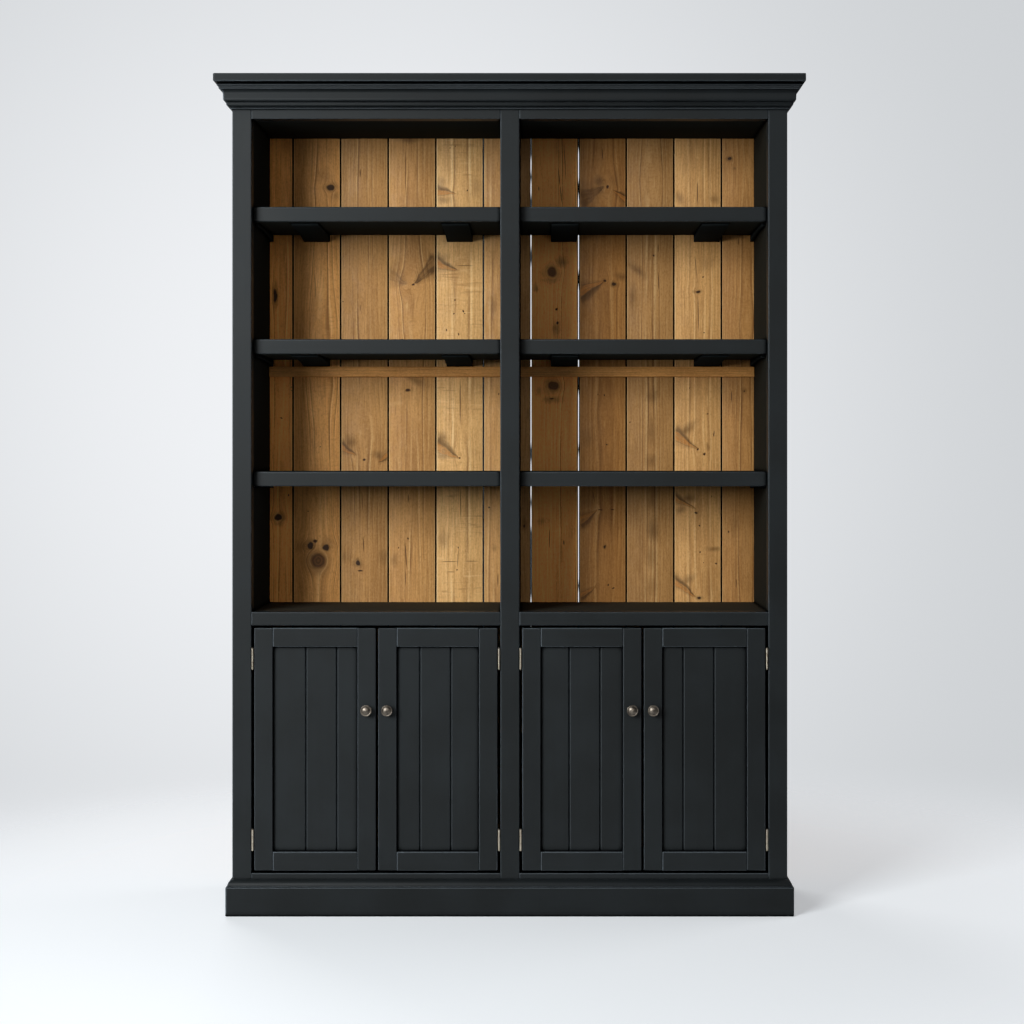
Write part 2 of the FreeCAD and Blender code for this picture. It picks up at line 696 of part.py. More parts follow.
postLeaves, catches = [], []
for number, start, turn in doorPosts:
    name = f"door_{number}"
    outer = number in "14"
    wide = f"({doorWide} {'+' if outer else '-'} doorShift)"
    firstPlank = "plankOuter" if outer else "plankInner"
    hingeStile = across(start, turn, "hingeGap", "hingeGap + doorFrame")
    meetStile = across(start, turn, f"hingeGap + {wide} - doorFrame",
                       f"hingeGap + {wide}")
    knobX = f"{start} + {turn} * (hingeGap + {wide} - doorFrame / 2)"
    grooveA = across(start, turn, "hingeGap + doorFrame - grooveDeep",
                     "hingeGap + doorFrame + cutOver")
    grooveB = across(start, turn, f"hingeGap + {wide} - doorFrame - cutOver",
                     f"hingeGap + {wide} - doorFrame + grooveDeep")
    node(f"{name}_stiles",
         doorStile(f"{name}_hinge_stile", hingeStile, grooveA),
         doorStile(f"{name}_meeting_stile", meetStile, grooveB))
    railX = across(start, turn, "hingeGap + doorFrame",
                   f"hingeGap + {wide} - doorFrame")
    lowZ = (doorLow, f"{doorLow} + doorFrame")
    highZ = (f"{doorHigh} - doorFrame", doorHigh)
    node(f"{name}_rails",
         doorRail(f"{name}_bottom_rail", railX, lowZ,
                  (f"{lowZ[1]} - grooveDeep", f"{lowZ[1]} + cutOver")),
         doorRail(f"{name}_top_rail", railX, highZ,
                  (f"{highZ[0]} - cutOver", f"{highZ[0]} + grooveDeep")))
    # sight joints of the panel, counted from the hinge stile
    seat = "grooveDeep - grooveGap"
    cuts = [f"-({seat})", firstPlank, f"{firstPlank} + plankSecond",
            f"{wide} - 2 * doorFrame + {seat}"]
    spans = [across(start, turn, f"hingeGap + doorFrame + {cuts[k]}",
                    f"hingeGap + doorFrame + {cuts[k + 1]}") for k in range(3)]
    if turn < 0:
        spans.reverse()
    node(f"{name}_panel", *[
        panelPlank(f"{name}_plank_{k + 1}", spans[k],
                   f"{lowZ[1]} - ({seat})", f"{highZ[0]} + {seat}",
                   grooved=k > 0, tongued=k < 2) for k in range(3)])
    doorLeaves = []
    for end, centre in (("lower", f"({doorLow} + hingeInset)"),
                        ("upper", f"({doorHigh} - hingeInset)")):
        low = f"({centre} - hingeLong / 2)"
        doorLeaves.append(hingeLeaf(f"{name}_leaf_{end}", start, turn, low,
                                    doorKnuckles, True))
        postLeaves.append(hingeLeaf(f"post_leaf_{number}_{end}", start, turn, low,
                                    postKnuckles, False))
    strikeX = (f"{knobX} - strikeWide / 2", f"{knobX} + strikeWide / 2")
    strikeMid = f"({shelfLow} - catchTall / 2)"
    strike = board(f"{name}_strike", strikeX, (doorBack, f"{doorBack} + strikeThick"),
                   (f"{strikeMid} - strikeTall / 2", f"{strikeMid} + strikeTall / 2"))
    node(f"{name}_fittings", doorKnob(f"{name}_knob", knobX), strike, *doorLeaves)
    catchX = (f"{knobX} - catchWide / 2", f"{knobX} + catchWide / 2")
    catchFront = f"({doorBack} + strikeThick + catchGap)"
    catch = board(f"catch_{number}", catchX,
                  (f"{catchFront} + poleOut", f"{catchFront} + poleOut + catchDeep"),
                  (f"{shelfLow} - catchTall", shelfLow))
    for level in ("0.2", "0.8"):
        at = f"({shelfLow} - {level} * catchTall)"
        addBlock(catch, "Additive",
                 (f"{knobX} - 0.35 * catchWide", f"{knobX} + 0.35 * catchWide"),
                 (catchFront, f"{catchFront} + poleOut + poleThick"),
                 (f"{at} - poleThick / 2", f"{at} + poleThick / 2"))
    catches.append(catch)
node("hinge_post_leaves", *postLeaves)
node("door_catches", *catches)

# ------------------------------------------------------------ check, write

doc.recompute()
for thing in doc.Objects:
    if "Invalid" in thing.State or "Error" in thing.State:
        raise RuntimeError(f"{thing.Label}: {thing.State}")
os.makedirs("parts", exist_ok=True)
for label, thing in nodes.items():
    shape = thing.Shape
    if shape.isNull() or not shape.isValid() or not shape.Solids:
        raise RuntimeError(f"{label}: the shape is not sound")
for label, thing in nodes.items():
    thing.Shape.exportStep(f"parts/{label}.step")
    print(f"{label}: {len(thing.Shape.Solids)} solid(s), {thing.Shape.Volume / 1000:.1f} cm3")
box = Part.makeCompound([thing.Shape for thing in nodes.values()]).BoundBox
print(f"{len(nodes)} sub-parts, {box.XLength:.1f} x {box.YLength:.1f} x {box.ZLength:.1f} mm")
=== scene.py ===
import math

import bmesh
import bpy
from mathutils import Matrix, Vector


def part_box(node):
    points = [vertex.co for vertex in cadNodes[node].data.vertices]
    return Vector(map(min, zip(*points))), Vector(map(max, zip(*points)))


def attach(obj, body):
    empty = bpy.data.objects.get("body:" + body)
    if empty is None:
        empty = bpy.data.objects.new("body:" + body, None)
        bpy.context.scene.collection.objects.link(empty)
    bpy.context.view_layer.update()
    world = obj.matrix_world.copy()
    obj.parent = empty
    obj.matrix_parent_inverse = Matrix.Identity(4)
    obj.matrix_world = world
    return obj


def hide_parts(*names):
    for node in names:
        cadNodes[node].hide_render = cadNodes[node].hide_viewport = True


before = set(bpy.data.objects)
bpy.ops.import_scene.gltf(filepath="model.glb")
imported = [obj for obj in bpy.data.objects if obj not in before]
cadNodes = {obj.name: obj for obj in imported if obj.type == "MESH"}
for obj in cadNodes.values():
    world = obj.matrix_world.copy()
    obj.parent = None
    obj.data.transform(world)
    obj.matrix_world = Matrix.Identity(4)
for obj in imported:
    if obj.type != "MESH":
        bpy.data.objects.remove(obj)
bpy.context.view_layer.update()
print("frame:", len(cadNodes), "nodes")


# node helpers

# the node tree that put and feed work in; put takes a kind without its "ShaderNode"
current = {}


def feed(node, sockets):
    for key, value in sockets.items():
        if isinstance(value, bpy.types.NodeSocket):
            current["tree"].links.new(value, node.inputs[key])
        else:
            node.inputs[key].default_value = value


def put(kind, sockets=None, **settings):
    node = current["tree"].nodes.new("ShaderNode" + kind)
    for key, value in settings.items():
        setattr(node, key, value)
    feed(node, sockets or {})
    return node


def sums(operation, *values):
    return put("Math", dict(enumerate(values)), operation=operation).outputs[0]


def times(product, *others):
    for other in others:
        product = sums("MULTIPLY", product, other)
    return product


def plus(first, second):
    return sums("ADD", first, second)


def vectors(operation, *values):
    node = put("VectorMath", dict(enumerate(values)), operation=operation)
    return node.outputs["Value" if operation in ("DOT_PRODUCT", "LENGTH", "DISTANCE") else 0]


def split(vector):
    return put("SeparateXYZ", {0: vector}).outputs


def spread(value, low, high, outLow=0.0, outHigh=1.0):
    return put("MapRange", {0: value, 1: low, 2: high, 3: outLow, 4: outHigh},
               interpolation_type="SMOOTHSTEP").outputs[0]


def mixed(factor, first, second):
    return put("Mix", {0: factor, 6: first, 7: second}, data_type="RGBA").outputs[2]


def noise(place, scale, detail=3.0, rough=0.5, twist=0.0):
    return put("TexNoise", {"Vector": place, "Scale": scale,
               "Detail": detail, "Roughness": rough, "Distortion": twist}).outputs["Fac"]


def stretched(place, scale, shift=(0, 0, 0), turn=(0, 0, 0), kind="POINT"):
    return put("Mapping", {"Vector": place, "Location": shift,
               "Rotation": turn, "Scale": scale}, vector_type=kind).outputs[0]


def hue(red, green, blue):
    # a colour as a paint chart gives it, 0 to 255
    return [((c / 255 + 0.055) / 1.055) ** 2.4 if c > 10 else c / 3295
            for c in (red, green, blue)] + [1.0]


def newGroup(name, takes, gives):
    current["tree"] = group = bpy.data.node_groups.new(name, "ShaderNodeTree")
    for way, sockets in (("INPUT", takes), ("OUTPUT", gives)):
        for label, kind in sockets.items():
            group.interface.new_socket(label, in_out=way, socket_type="NodeSocket" + kind)
    start = group.nodes.new("NodeGroupInput")
    end = group.nodes.new("NodeGroupOutput")
    return group, start.outputs, end


def useGroup(group, sockets):
    return put("Group", sockets, node_tree=group).outputs


# surface effects shared by the materials

wearAndShading = {
    "samples": 6,
    # how much a rounded normal agrees with the flat one where wear starts and is full
    "turned": (0.998, 0.945),
    # painted highlight: the arrises that face up and left, towards the key lamp, get most of
    # the paler wear colour
    "towards": (-0.7, 0.0, 0.7), "leaning": (-0.10, 0.16, 0.16, 1.0),
    "patches": (26.0, 4.0), "patchy": (0.35, 0.72, 0.85, 1.0),
    # how far off a wall the painted shade still reaches, and how open the spots with wear,
    # painted highlight and painted shade are
    "reach": 0.013, "open": (0.74, 0.90), "shut": (0.91, 0.58),
}


def makeArrisWearHighlightShade():
    # painted highlight on outer edges that face up and left, patchy as wear, rounded normals
    # for them, and painted shade in inner corners
    group, takes, gives = newGroup("arrisWearHighlightShade", {"Vector": "Vector", "Radius": "Float"},
                                   {"WearAndHighlight": "Float", "Shade": "Float", "Normal": "Vector"})
    corner = put("Bevel", {"Radius": takes["Radius"]},
                 samples=wearAndShading["samples"]).outputs[0]
    facing = put("NewGeometry").outputs["Normal"]
    edge = spread(vectors("DOT_PRODUCT", corner, facing), *wearAndShading["turned"])
    lean = put("VectorTransform", {0: vectors("SUBTRACT", corner, facing)},
               vector_type="VECTOR", convert_from="WORLD", convert_to="OBJECT").outputs[0]
    litAndWornArris = vectors("DOT_PRODUCT", lean, wearAndShading["towards"])
    edge = times(edge, spread(litAndWornArris, *wearAndShading["leaning"]))
    patchy = spread(noise(takes["Vector"], *wearAndShading["patches"]), *wearAndShading["patchy"])
    clear = put("AmbientOcclusion", {"Distance": wearAndShading["reach"]},
                samples=wearAndShading["samples"]).outputs["AO"]
    feed(gives, {"WearAndHighlight": times(edge, patchy, spread(clear, *wearAndShading["open"])),
                 "Shade": spread(clear, *wearAndShading["shut"]), "Normal": corner})
    return group


brushing = {
    # scale, detail, roughness and twist of the noises
    "cloud": (5.5, 4.0, 0.55), "peel": (420.0, 1.0),
    "brush": (210.0, 3.0, 0.6), "grain": (62.0, 5.0, 0.62, 0.35),
    # the cloud's share of tone and gloss, and what the grain or the brush adds
    "shares": (0.8, 0.2),
    "brushDeep": 0.30, "grainDeep": 0.55, "peelDeep": 0.15,
}


def makeBrushedPaint():
    # Along is the place squeezed along the timber, so that brush marks and grain run that way
    group, takes, gives = newGroup("brushedPaint", {"Vector": "Vector", "Along": "Vector"},
                                   {"Tone": "Float", "Gloss": "Float", "Height": "Float"})
    cloud, peel = (noise(takes["Vector"], *brushing[k]) for k in ("cloud", "peel"))
    brush, grain = (noise(takes["Along"], *brushing[k]) for k in ("brush", "grain"))
    broad, fine = brushing["shares"]
    cloudy = times(cloud, broad)
    small = plus(times(grain, brushing["grainDeep"]), times(peel, brushing["peelDeep"]))
    feed(gives, {"Tone": plus(cloudy, times(grain, fine)),
                 "Gloss": plus(cloudy, times(brush, fine)),
                 "Height": plus(times(brush, brushing["brushDeep"]), small)})
    return group


def makeFlowRound():
    # grain lines part round a knot as water does round a post
    group, takes, gives = newGroup(
        "flowRound", {"Vector": "Vector", "Centre": "Vector", "Size": "Float",
                      "Stretch": "Float", "Soft": "Float"}, {"Vector": "Vector"})
    part = split(vectors("SUBTRACT", takes["Vector"], takes["Centre"]))
    up = sums("DIVIDE", part["Z"], takes["Stretch"])
    square = plus(times(part["X"], part["X"]), times(up, up))
    size = times(takes["Size"], takes["Size"])
    pull = sums("DIVIDE", size, plus(square, times(size, takes["Soft"])))
    shift = put("CombineXYZ", {"X": times(part["X"], pull)}).outputs[0]
    feed(gives, {"Vector": vectors("SUBTRACT", takes["Vector"], shift)})
    return group


growing = {
    # noises: how the place is squeezed, then scale, detail, roughness and twist
    "wander": ((9.0, 9.0, 1.6), 1.0, 2.0, 0.45), "swing": ((0.4, 0.4, 1.0), 1.9, 1.0),
    "patches": ((1.0, 1.0, 0.12), 38.0, 2.0), "band": ((1.0, 1.0, 0.05), 44.0, 3.0, 0.55),
    "fibre": ((1.0, 1.0, 0.035), 520.0, 3.0, 0.65),
    "cloud": ((1.0, 1.0, 0.28), 17.0, 4.0, 0.55, 0.6),
    "mottle": ((1.0, 1.0, 0.6), 260.0, 2.0, 0.7),
    # how far the heart wanders, how flat the rings are cut, how uneven they are
    "bend": 0.024, "flat": 0.45, "uneven": (0.8, 1.0), "unevenTo": 1.6,
    # the lines crowd round the heart of the board and fade towards its sides
    "patchy": (0.36, 0.62, 0.15, 1.0), "sides": (0.012, 0.040, 1.0, 0.22),
    "heart": (0.10, 0.50, 0.25, 1.0),
    # where in a ring its dark line and its pale line start and end
    "late": ((0.55, 0.84), (1.0, 0.90)), "early": ((0.02, 0.12), (0.36, 0.16)),
}


def makePineGrain():
    # growth rings cut flat: they run as lines, and close to arches where the heart dips
    group, takes, gives = newGroup(
        "pineGrain", {"Vector": "Vector", "Heart": "Float", "Depth": "Float",
                      "Rise": "Float", "Swing": "Float", "Ring": "Float"},
        {"Late": "Float", "Early": "Float", "Fibre": "Float", "Cloud": "Float",
         "Band": "Float", "Mottle": "Float"})

    def layer(name):
        squeeze, *grain = growing[name]
        return noise(stretched(takes["Vector"], squeeze), *grain)

    part = split(takes["Vector"])
    bend = times(sums("SUBTRACT", layer("wander"), 0.5), growing["bend"])
    across = plus(sums("SUBTRACT", part["X"], takes["Heart"]), bend)
    swing = times(sums("SUBTRACT", layer("swing"), 0.5), takes["Swing"])
    down = plus(plus(takes["Depth"], swing), times(part["Z"], takes["Rise"]))
    down = times(down, growing["flat"])
    radius = sums("SQRT", plus(times(across, across), times(down, down)))
    count = sums("DIVIDE", radius, takes["Ring"])
    uneven = noise(put("CombineXYZ", {0: count}).outputs[0], *growing["uneven"])
    turn = sums("FRACT", plus(count, times(uneven, growing["unevenTo"])))
    off = sums("ABSOLUTE", across)
    patchy = times(spread(layer("patches"), *growing["patchy"]),
                   spread(off, *growing["sides"]),
                   spread(sums("DIVIDE", off, radius), *growing["heart"]))
    dark, pale = (times(*(spread(turn, *reach) for reach in growing[line]), patchy)
                  for line in ("late", "early"))
    feed(gives, {"Late": dark, "Early": pale})
    feed(gives, {name: layer(name.lower()) for name in ("Band", "Fibre", "Cloud", "Mottle")})
    return group


arrisWearHighlightShade = makeArrisWearHighlightShade()
brushedPaint = makeBrushedPaint()
flowRound = makeFlowRound()
pineGrain = makePineGrain()
print("surface groups made")


# materials

def newMaterial(name):
    material = bpy.data.materials.new(name)
    material.use_nodes = True
    current["tree"] = material.node_tree
    shader = material.node_tree.nodes["Principled BSDF"]
    return material, shader, put("TexCoord").outputs["Object"]


def bumped(shader, height, depth, rounded=None):
    bump = put("Bump", {"Height": height, "Distance": depth})
    if rounded:
        feed(bump, {"Normal": rounded})
    feed(shader, {"Normal": bump.outputs[0]})


paint = {
    "deep": (24, 27, 28), "light": (29, 33, 35), "patchy": (0.36, 0.66),
    # worn: the paler colour on the arrises, wear and painted highlight, and how much of it
    "wornAndLit": (130, 139, 147), "wornAndLitTo": 0.62, "arris": 0.0034,
    "rough": (0.48, 0.56), "rougher": 0.4, "along": 0.045, "bump": 0.00004, "sheen": 0.25,
    # corner: the near black painted shade in inner corners, and how much of it
    "corner": (2, 3, 4), "cornerShadeTo": 0.9,
    # painted shade inside the case, behind the opening, with a colour matched to the light it
    # gets and less sheen: half its width, its front, its soft edges
    "inside": (0.6105, -0.1055), "shadedInsideSoft": (0.001, 0.006),
}


def paintMaterial(name, squeeze, inner, shadedInsideSheen=0.0, wornAndLit=paint["wornAndLitTo"], toneAndLight=1.0):
    material, shader, place = newMaterial(name)
    coat = useGroup(brushedPaint, {"Vector": place, "Along": stretched(place, squeeze)})
    edge = useGroup(arrisWearHighlightShade, {"Vector": place, "Radius": paint["arris"]})
    deep, light = (hue(*(part * toneAndLight for part in paint[k])) for k in ("deep", "light"))
    body = mixed(spread(coat["Tone"], *paint["patchy"]), deep, light)
    # painted highlight and wear on the arrises that face up and left
    body = mixed(times(edge["WearAndHighlight"], wornAndLit), body, hue(*paint["wornAndLit"]))
    half, front = paint["inside"]
    softAcross, softBack = paint["shadedInsideSoft"]
    part = split(place)
    inside = times(spread(part["Y"], front, front + softBack), spread(
        sums("ABSOLUTE", part["X"]), half + softAcross, half))
    # painted light and shade behind the opening: a colour of its own there
    body = mixed(inside, body, hue(*inner))
    # painted shade in inner corners, which also takes the sheen away
    shade = times(edge["Shade"], paint["cornerShadeTo"])
    body = mixed(shade, body, hue(*paint["corner"]))
    gloss = spread(coat["Gloss"], 0.3, 0.7, *paint["rough"])
    dull = times(sums("MAXIMUM", inside, shade), paint["rougher"])
    # tone darkens colour and sheen together, as painted shade
    outerSheen = paint["sheen"] * toneAndLight * toneAndLight
    feed(shader, {"Specular IOR Level": outerSheen})
    sheen = spread(inside, 0, 1, outerSheen, shadedInsideSheen)
    feed(shader, {"Base Color": body, "Roughness": plus(gloss, dull),
                  "Specular IOR Level": times(sheen, spread(shade, 0, 1, 1, 0))})
    bumped(shader, coat["Height"], paint["bump"], edge["Normal"])
    return material


# how the place is squeezed along the timber, then the painted light-and-shade colour and the
# sheen inside the case
upward, sideways = (1, 1, paint["along"]), (paint["along"], 1, 1)
backward = (1, paint["along"], 1)
paintUpright = paintMaterial("paint_upright", upward, (45, 47, 46))
paintRight = paintMaterial("paint_right_side", upward, (34, 33, 28), 0.05)
paintAcross = paintMaterial("paint_across", sideways, (51, 53, 50))
paintDeck = paintMaterial("paint_deck", sideways, (60, 55, 46), 0.05)
paintDeep = paintMaterial("paint_front_to_back", backward, (40, 44, 45))
# painted shade: the mouldings are a darker copy of the paint
paintMould = paintMaterial("paint_mouldings", sideways, (51, 53, 50), toneAndLight=0.93)
# stiles, rails and panels differ in how strong the painted arris highlight is
paintStile = paintMaterial("paint_stiles", upward, (45, 47, 46), wornAndLit=1.0)
paintRail = paintMaterial("paint_rails", sideways, (51, 53, 50), wornAndLit=0.75)
paintPanel = paintMaterial("paint_panels", upward, (45, 47, 46), wornAndLit=0.3)

# Each board of the back by its marks, in millimetres from the middle of the case and up
# from the floor. knot: x, z, half width, half height, ringed. swell: x, z, size. spike:
# tip x, z, root x, z, half width, dark. smoke: x, z, half sizes, turn, strength. pin: x, z,
# half sizes. crack: x, z, half width, half height, turn.
pineMarks = {
    1: {
        "knot": [(-596, 1488, 5, 18, 0), (-589, 929, 10, 8, 0)],
        "smoke": [(-588, 914, 12, 8, 0, 0.5)],
        "pin": [(-556, 1257, 2.1, 2.1), (-556, 1248, 2.1, 2.1), (-582, 1181, 4, 1.7),
            (-563, 987, 1.3, 4)],
    },
    2: {
        "knot": [(-457, 1761, 11, 8, 0), (-489, 820, 20, 21, 1), (-508, 858, 9, 10, 0),
            (-467, 855, 9, 9, 0)],
        "swell": [(-462, 1414, 29), (-468, 1263, 25)],
        "smoke": [(-470, 1789, 19, 29, 35, 0.45), (-445, 1741, 15, 17, 0, 0.5),
            (-529, 856, 21, 19, 0, 0.5), (-462, 860, 25, 23, -20, 0.45)],
        "pin": [(-496, 870, 7, 5), (-482, 1108, 2.1, 2.1), (-513, 945, 1.7, 1.7)],
        "crack": [(-496, 1515, 0.8, 38, 2)],
    },
    3: {
        "knot": [(-388, 816, 6, 7, 0)],
        "swell": [(-369, 1146, 23)],
        "spike": [(-392, 1084, -429, 1107, 6, 0), (-340, 1066, -314, 1086, 4, 0)],
        "smoke": [(-407, 1120, 16, 16, 30, 0.65), (-336, 1083, 18, 13, -30, 0.75),
            (-321, 830, 16, 21, 0, 0.4), (-420, 830, 17, 17, 0, 0.35)],
        "pin": [(-426, 1475, 3, 1.7), (-373, 1075, 4, 2.9), (-384, 795, 8, 2.5)],
        "crack": [(-382, 1798, 1.3, 12, 0), (-382, 1457, 0.8, 10, 0), (-377, 969, 0.8, 25, 2),
            (-374, 862, 1.3, 23, 3)],
    },
    4: {
        "swell": [(-250, 1423, 17)],
        "spike": [(-261, 1515, -308, 1541, 9, 0.6), (-249, 1515, -193, 1569, 10, 0.95)],
        "smoke": [(-260, 1883, 42, 9, 0, 0.6), (-241, 1277, 32, 13, -28, 0.7),
            (-290, 1216, 17, 6, 0, -0.5), (-296, 822, 13, 19, 0, 0.4)],
        "pin": [(-248, 1516, 4, 4), (-260, 1249, 8, 5), (-262, 876, 2.1, 3),
            (-285, 852, 1.7, 2.9)],
        "crack": [(-261, 977, 1.3, 13, -3), (-267, 834, 1.5, 40, 4), (-268, 776, 0.8, 22, 0),
            (-268, 1802, 0.8, 59, 0)],
    },
    5: {
        "saw": 0.6,
        "spike": [(-139, 1747, -190, 1751, 7, 0), (-136, 1550, -190, 1571, 8, 0),
            (-131, 1077, -189, 1108, 10, 0)],
        "smoke": [(-172, 1731, 21, 11, 0, 0.6), (-180, 1772, 13, 19, 0, 0.45),
            (-90, 1760, 17, 29, 0, 0.35), (-172, 1582, 23, 13, 20, 0.5),
            (-176, 1131, 17, 13, 0, 0.6), (-177, 1084, 16, 9, 0, 0.6),
            (-174, 872, 15, 25, 0, 0.45)],
        "pin": [(-155, 1860, 2.1, 2.1), (-140, 1866, 1.7, 2.5), (-114, 1754, 2.5, 2.5),
            (-145, 1444, 2.1, 2.5), (-122, 1450, 1.7, 4), (-120, 1443, 1.7, 1.7),
            (-166, 1402, 2.5, 4), (-134, 1390, 1.7, 4), (-146, 1477, 2.5, 2.1),
            (-132, 1080, 3, 3), (-135, 853, 2.1, 2.5), (-138, 798, 2.5, 3)],
        "crack": [(-130, 1221, 1.3, 65, 0), (-129, 961, 1.1, 46, 1), (-136, 826, 0.8, 28, -3),
            (-158, 818, 23, 0.8, 0), (-101, 819, 18, 0.8, 0), (-154, 792, 11, 0.8, 0),
            (-119, 1564, 23, 0.8, 0)],
    },
    6: {
        "smoke": [(-42, 851, 9, 9, 0, 0.5), (-50, 1465, 11, 25, 0, 0.35),
            (32, 914, 8, 19, 0, 0.55), (43, 1188, 10, 17, 0, 0.35)],
        "pin": [(-33, 1242, 1.7, 4), (-58, 954, 3, 3), (31, 908, 3, 6)],
        "crack": [(-35, 772, 1.3, 20, 0)],
    },
    7: {
        "knot": [(100, 1548, 13, 13, 1), (104, 1261, 13, 12, 1)],
        "smoke": [(125, 1573, 17, 17, -30, 0.7), (100, 1528, 23, 11, 0, 0.6),
            (110, 1404, 11, 19, 0, 0.55), (60, 1507, 7, 12, 0, 0.6),
            (104, 1227, 29, 11, 0, 0.6), (68, 1248, 11, 15, 0, 0.4),
            (77, 918, 21, 13, 0, 0.3)],
        "pin": [(113, 1455, 4, 4), (112, 1418, 4, 5), (102, 1230, 8, 2.9),
            (130, 865, 1.7, 6)],
        "crack": [(119, 1789, 1.3, 26, 5), (124, 1743, 1.3, 26, 4), (68, 1758, 1.3, 6, 0),
            (95, 876, 1.1, 32, 0), (134, 1823, 0.8, 55, 3)],
    },
    8: {
        "knot": [(260, 1517, 6, 5, 0), (236, 856, 2.9, 2.9, 0)],
        "swell": [(234, 1188, 17)],
        "spike": [(237, 1765, 174, 1733, 12, 0.9), (251, 1758, 288, 1730, 5, 0),
            (237, 1527, 174, 1498, 10, 0), (216, 947, 174, 921, 7, 0),
            (216, 755, 174, 734, 5, 0)],
        "smoke": [(220, 1776, 17, 14, -30, 0.75), (262, 1781, 17, 25, 0, 0.4),
            (279, 1536, 22, 11, -15, 0.7), (190, 1492, 19, 9, -20, 0.5),
            (192, 1129, 19, 25, 0, 0.35), (190, 969, 21, 21, 0, 0.4)],
        "pin": [(241, 1762, 2.5, 5), (235, 1526, 4, 4), (218, 1240, 1.7, 2.5),
            (234, 1239, 1.7, 5), (239, 1111, 2.5, 2.9), (224, 947, 7, 2.1),
            (253, 951, 5, 2.1), (244, 759, 2.5, 2.9), (255, 750, 4, 2.1)],
        "crack": [(228, 1846, 1.3, 18, 2), (206, 982, 0.8, 17, 10)],
    },
    9: {
        "swell": [(350, 1781, 25)],
        "smoke": [(318, 1552, 29, 10, -42, 0.6), (305, 1486, 13, 29, 0, 0.45),
            (355, 1236, 15, 21, 0, 0.6), (352, 1150, 12, 46, 0, 0.45),
            (352, 1070, 14, 21, 0, 0.6), (356, 982, 13, 38, 0, 0.6),
            (356, 898, 16, 34, 0, 0.65), (352, 826, 14, 34, 0, 0.5),
            (350, 755, 17, 29, 0, 0.4)],
        "pin": [(298, 1168, 3, 1.7), (358, 1588, 2.9, 2.9)],
        "crack": [(370, 1524, 1.1, 26, 0), (369, 1608, 1.1, 13, 0)],
    },
    10: {
        "knot": [(469, 1499, 6, 2.9, 0), (472, 726, 5, 4, 0)],
        "spike": [(470, 1100, 411, 1137, 8, 0), (466, 949, 411, 978, 5, 0),
            (468, 724, 411, 768, 6, 0)],
        "smoke": [(422, 1734, 11, 19, 25, 0.6), (512, 1731, 16, 13, 0, 0.5),
            (489, 1566, 17, 21, 0, 0.3), (439, 1148, 32, 13, 40, 0.75),
            (493, 1108, 6, 10, 0, 0.5), (449, 976, 19, 12, 15, 0.7),
            (510, 848, 21, 7, 0, 0.6), (442, 772, 25, 11, 35, 0.55),
            (426, 948, 15, 10, 20, 0.5)],
        "pin": [(484, 1535, 2.1, 2.9), (484, 1396, 1.7, 2.1), (468, 1102, 3, 3),
            (486, 1090, 4, 4), (510, 1140, 1.7, 9), (492, 1190, 3, 1.7),
            (448, 1255, 1.3, 2.9), (462, 940, 6, 4), (473, 909, 2.5, 2.5),
            (476, 842, 2.5, 2.9), (484, 815, 1.7, 1.7), (517, 814, 2.5, 3),
            (503, 982, 1.7, 2.5)],
        "crack": [(468, 1747, 1.3, 33, 0), (464, 1562, 0.8, 29, 3), (470, 1444, 1.1, 50, 1)],
    },
    11: {
        "knot": [(547, 1833, 5, 4, 0)],
        "swell": [(590, 1419, 17)],
        "smoke": [(561, 1808, 5, 5, 0, 0.5), (587, 1250, 8, 9, 0, 0.5),
            (562, 914, 10, 29, 0, 0.3)],
        "pin": [(586, 1248, 2.5, 2.9), (548, 893, 2.1, 2.9)],
        "crack": [(554, 1235, 1.3, 17, 1), (566, 763, 1.1, 13, 0), (571, 1625, 1.3, 11, 0)],
    },
}

pine = {
    "early": (216, 158, 92), "late": (149, 98, 47), "pale": (244, 196, 132),
    "line": (122, 78, 37),
    "knot": (54, 31, 12), "knotRing": (140, 88, 42), "smoke": (86, 53, 17),
    "amber": (178, 108, 38), "crack": (70, 40, 17), "joint": (12, 6, 3),
    "rough": (0.50, 0.64), "ring": 0.0080, "bump": 0.0005, "jointHalf": 0.0020,
    "arris": (0.0026, 0.0045), "sheen": 0.22, "gloss": (60.0, 3.0),
    # how strongly each layer of the grain colours the board, darker and then paler
    "band": (0.38, 0.68, 0, 0.13), "cloud": (0.42, 0.74, 0, 0.42), "lines": 0.85,
    "Fibre": ((0.46, 0.72, 0, 0.45), (0.42, 0.26, 0, 0.45)),
    "Mottle": ((0.50, 0.70, 0, 0.30), (0.48, 0.28, 0, 0.16)),
    "drift": (0.25, 0.7, 0.65, 1.0), "paleTo": 0.5,
    "lateDeep": -0.4, "fibreDeep": 0.35, "crackDeep": 1.2,
    # a warm board is redder and less blue
    "warmth": (0.18, -0.27),
    # the ripples that a saw left: how they are squeezed, their noise, and where they are
    "saw": ((0.09, 1.0, 1.0), 135.0, 3.0, 0.6, 0.4), "sawn": ((11.0, 2.0), (0.40, 0.62)),
    # painted shade: the boards are a little browner and darker under the top
    "top": (40, 22, 8), "topShadeReach": (1.60, 1.72, 0, 0.11),
}
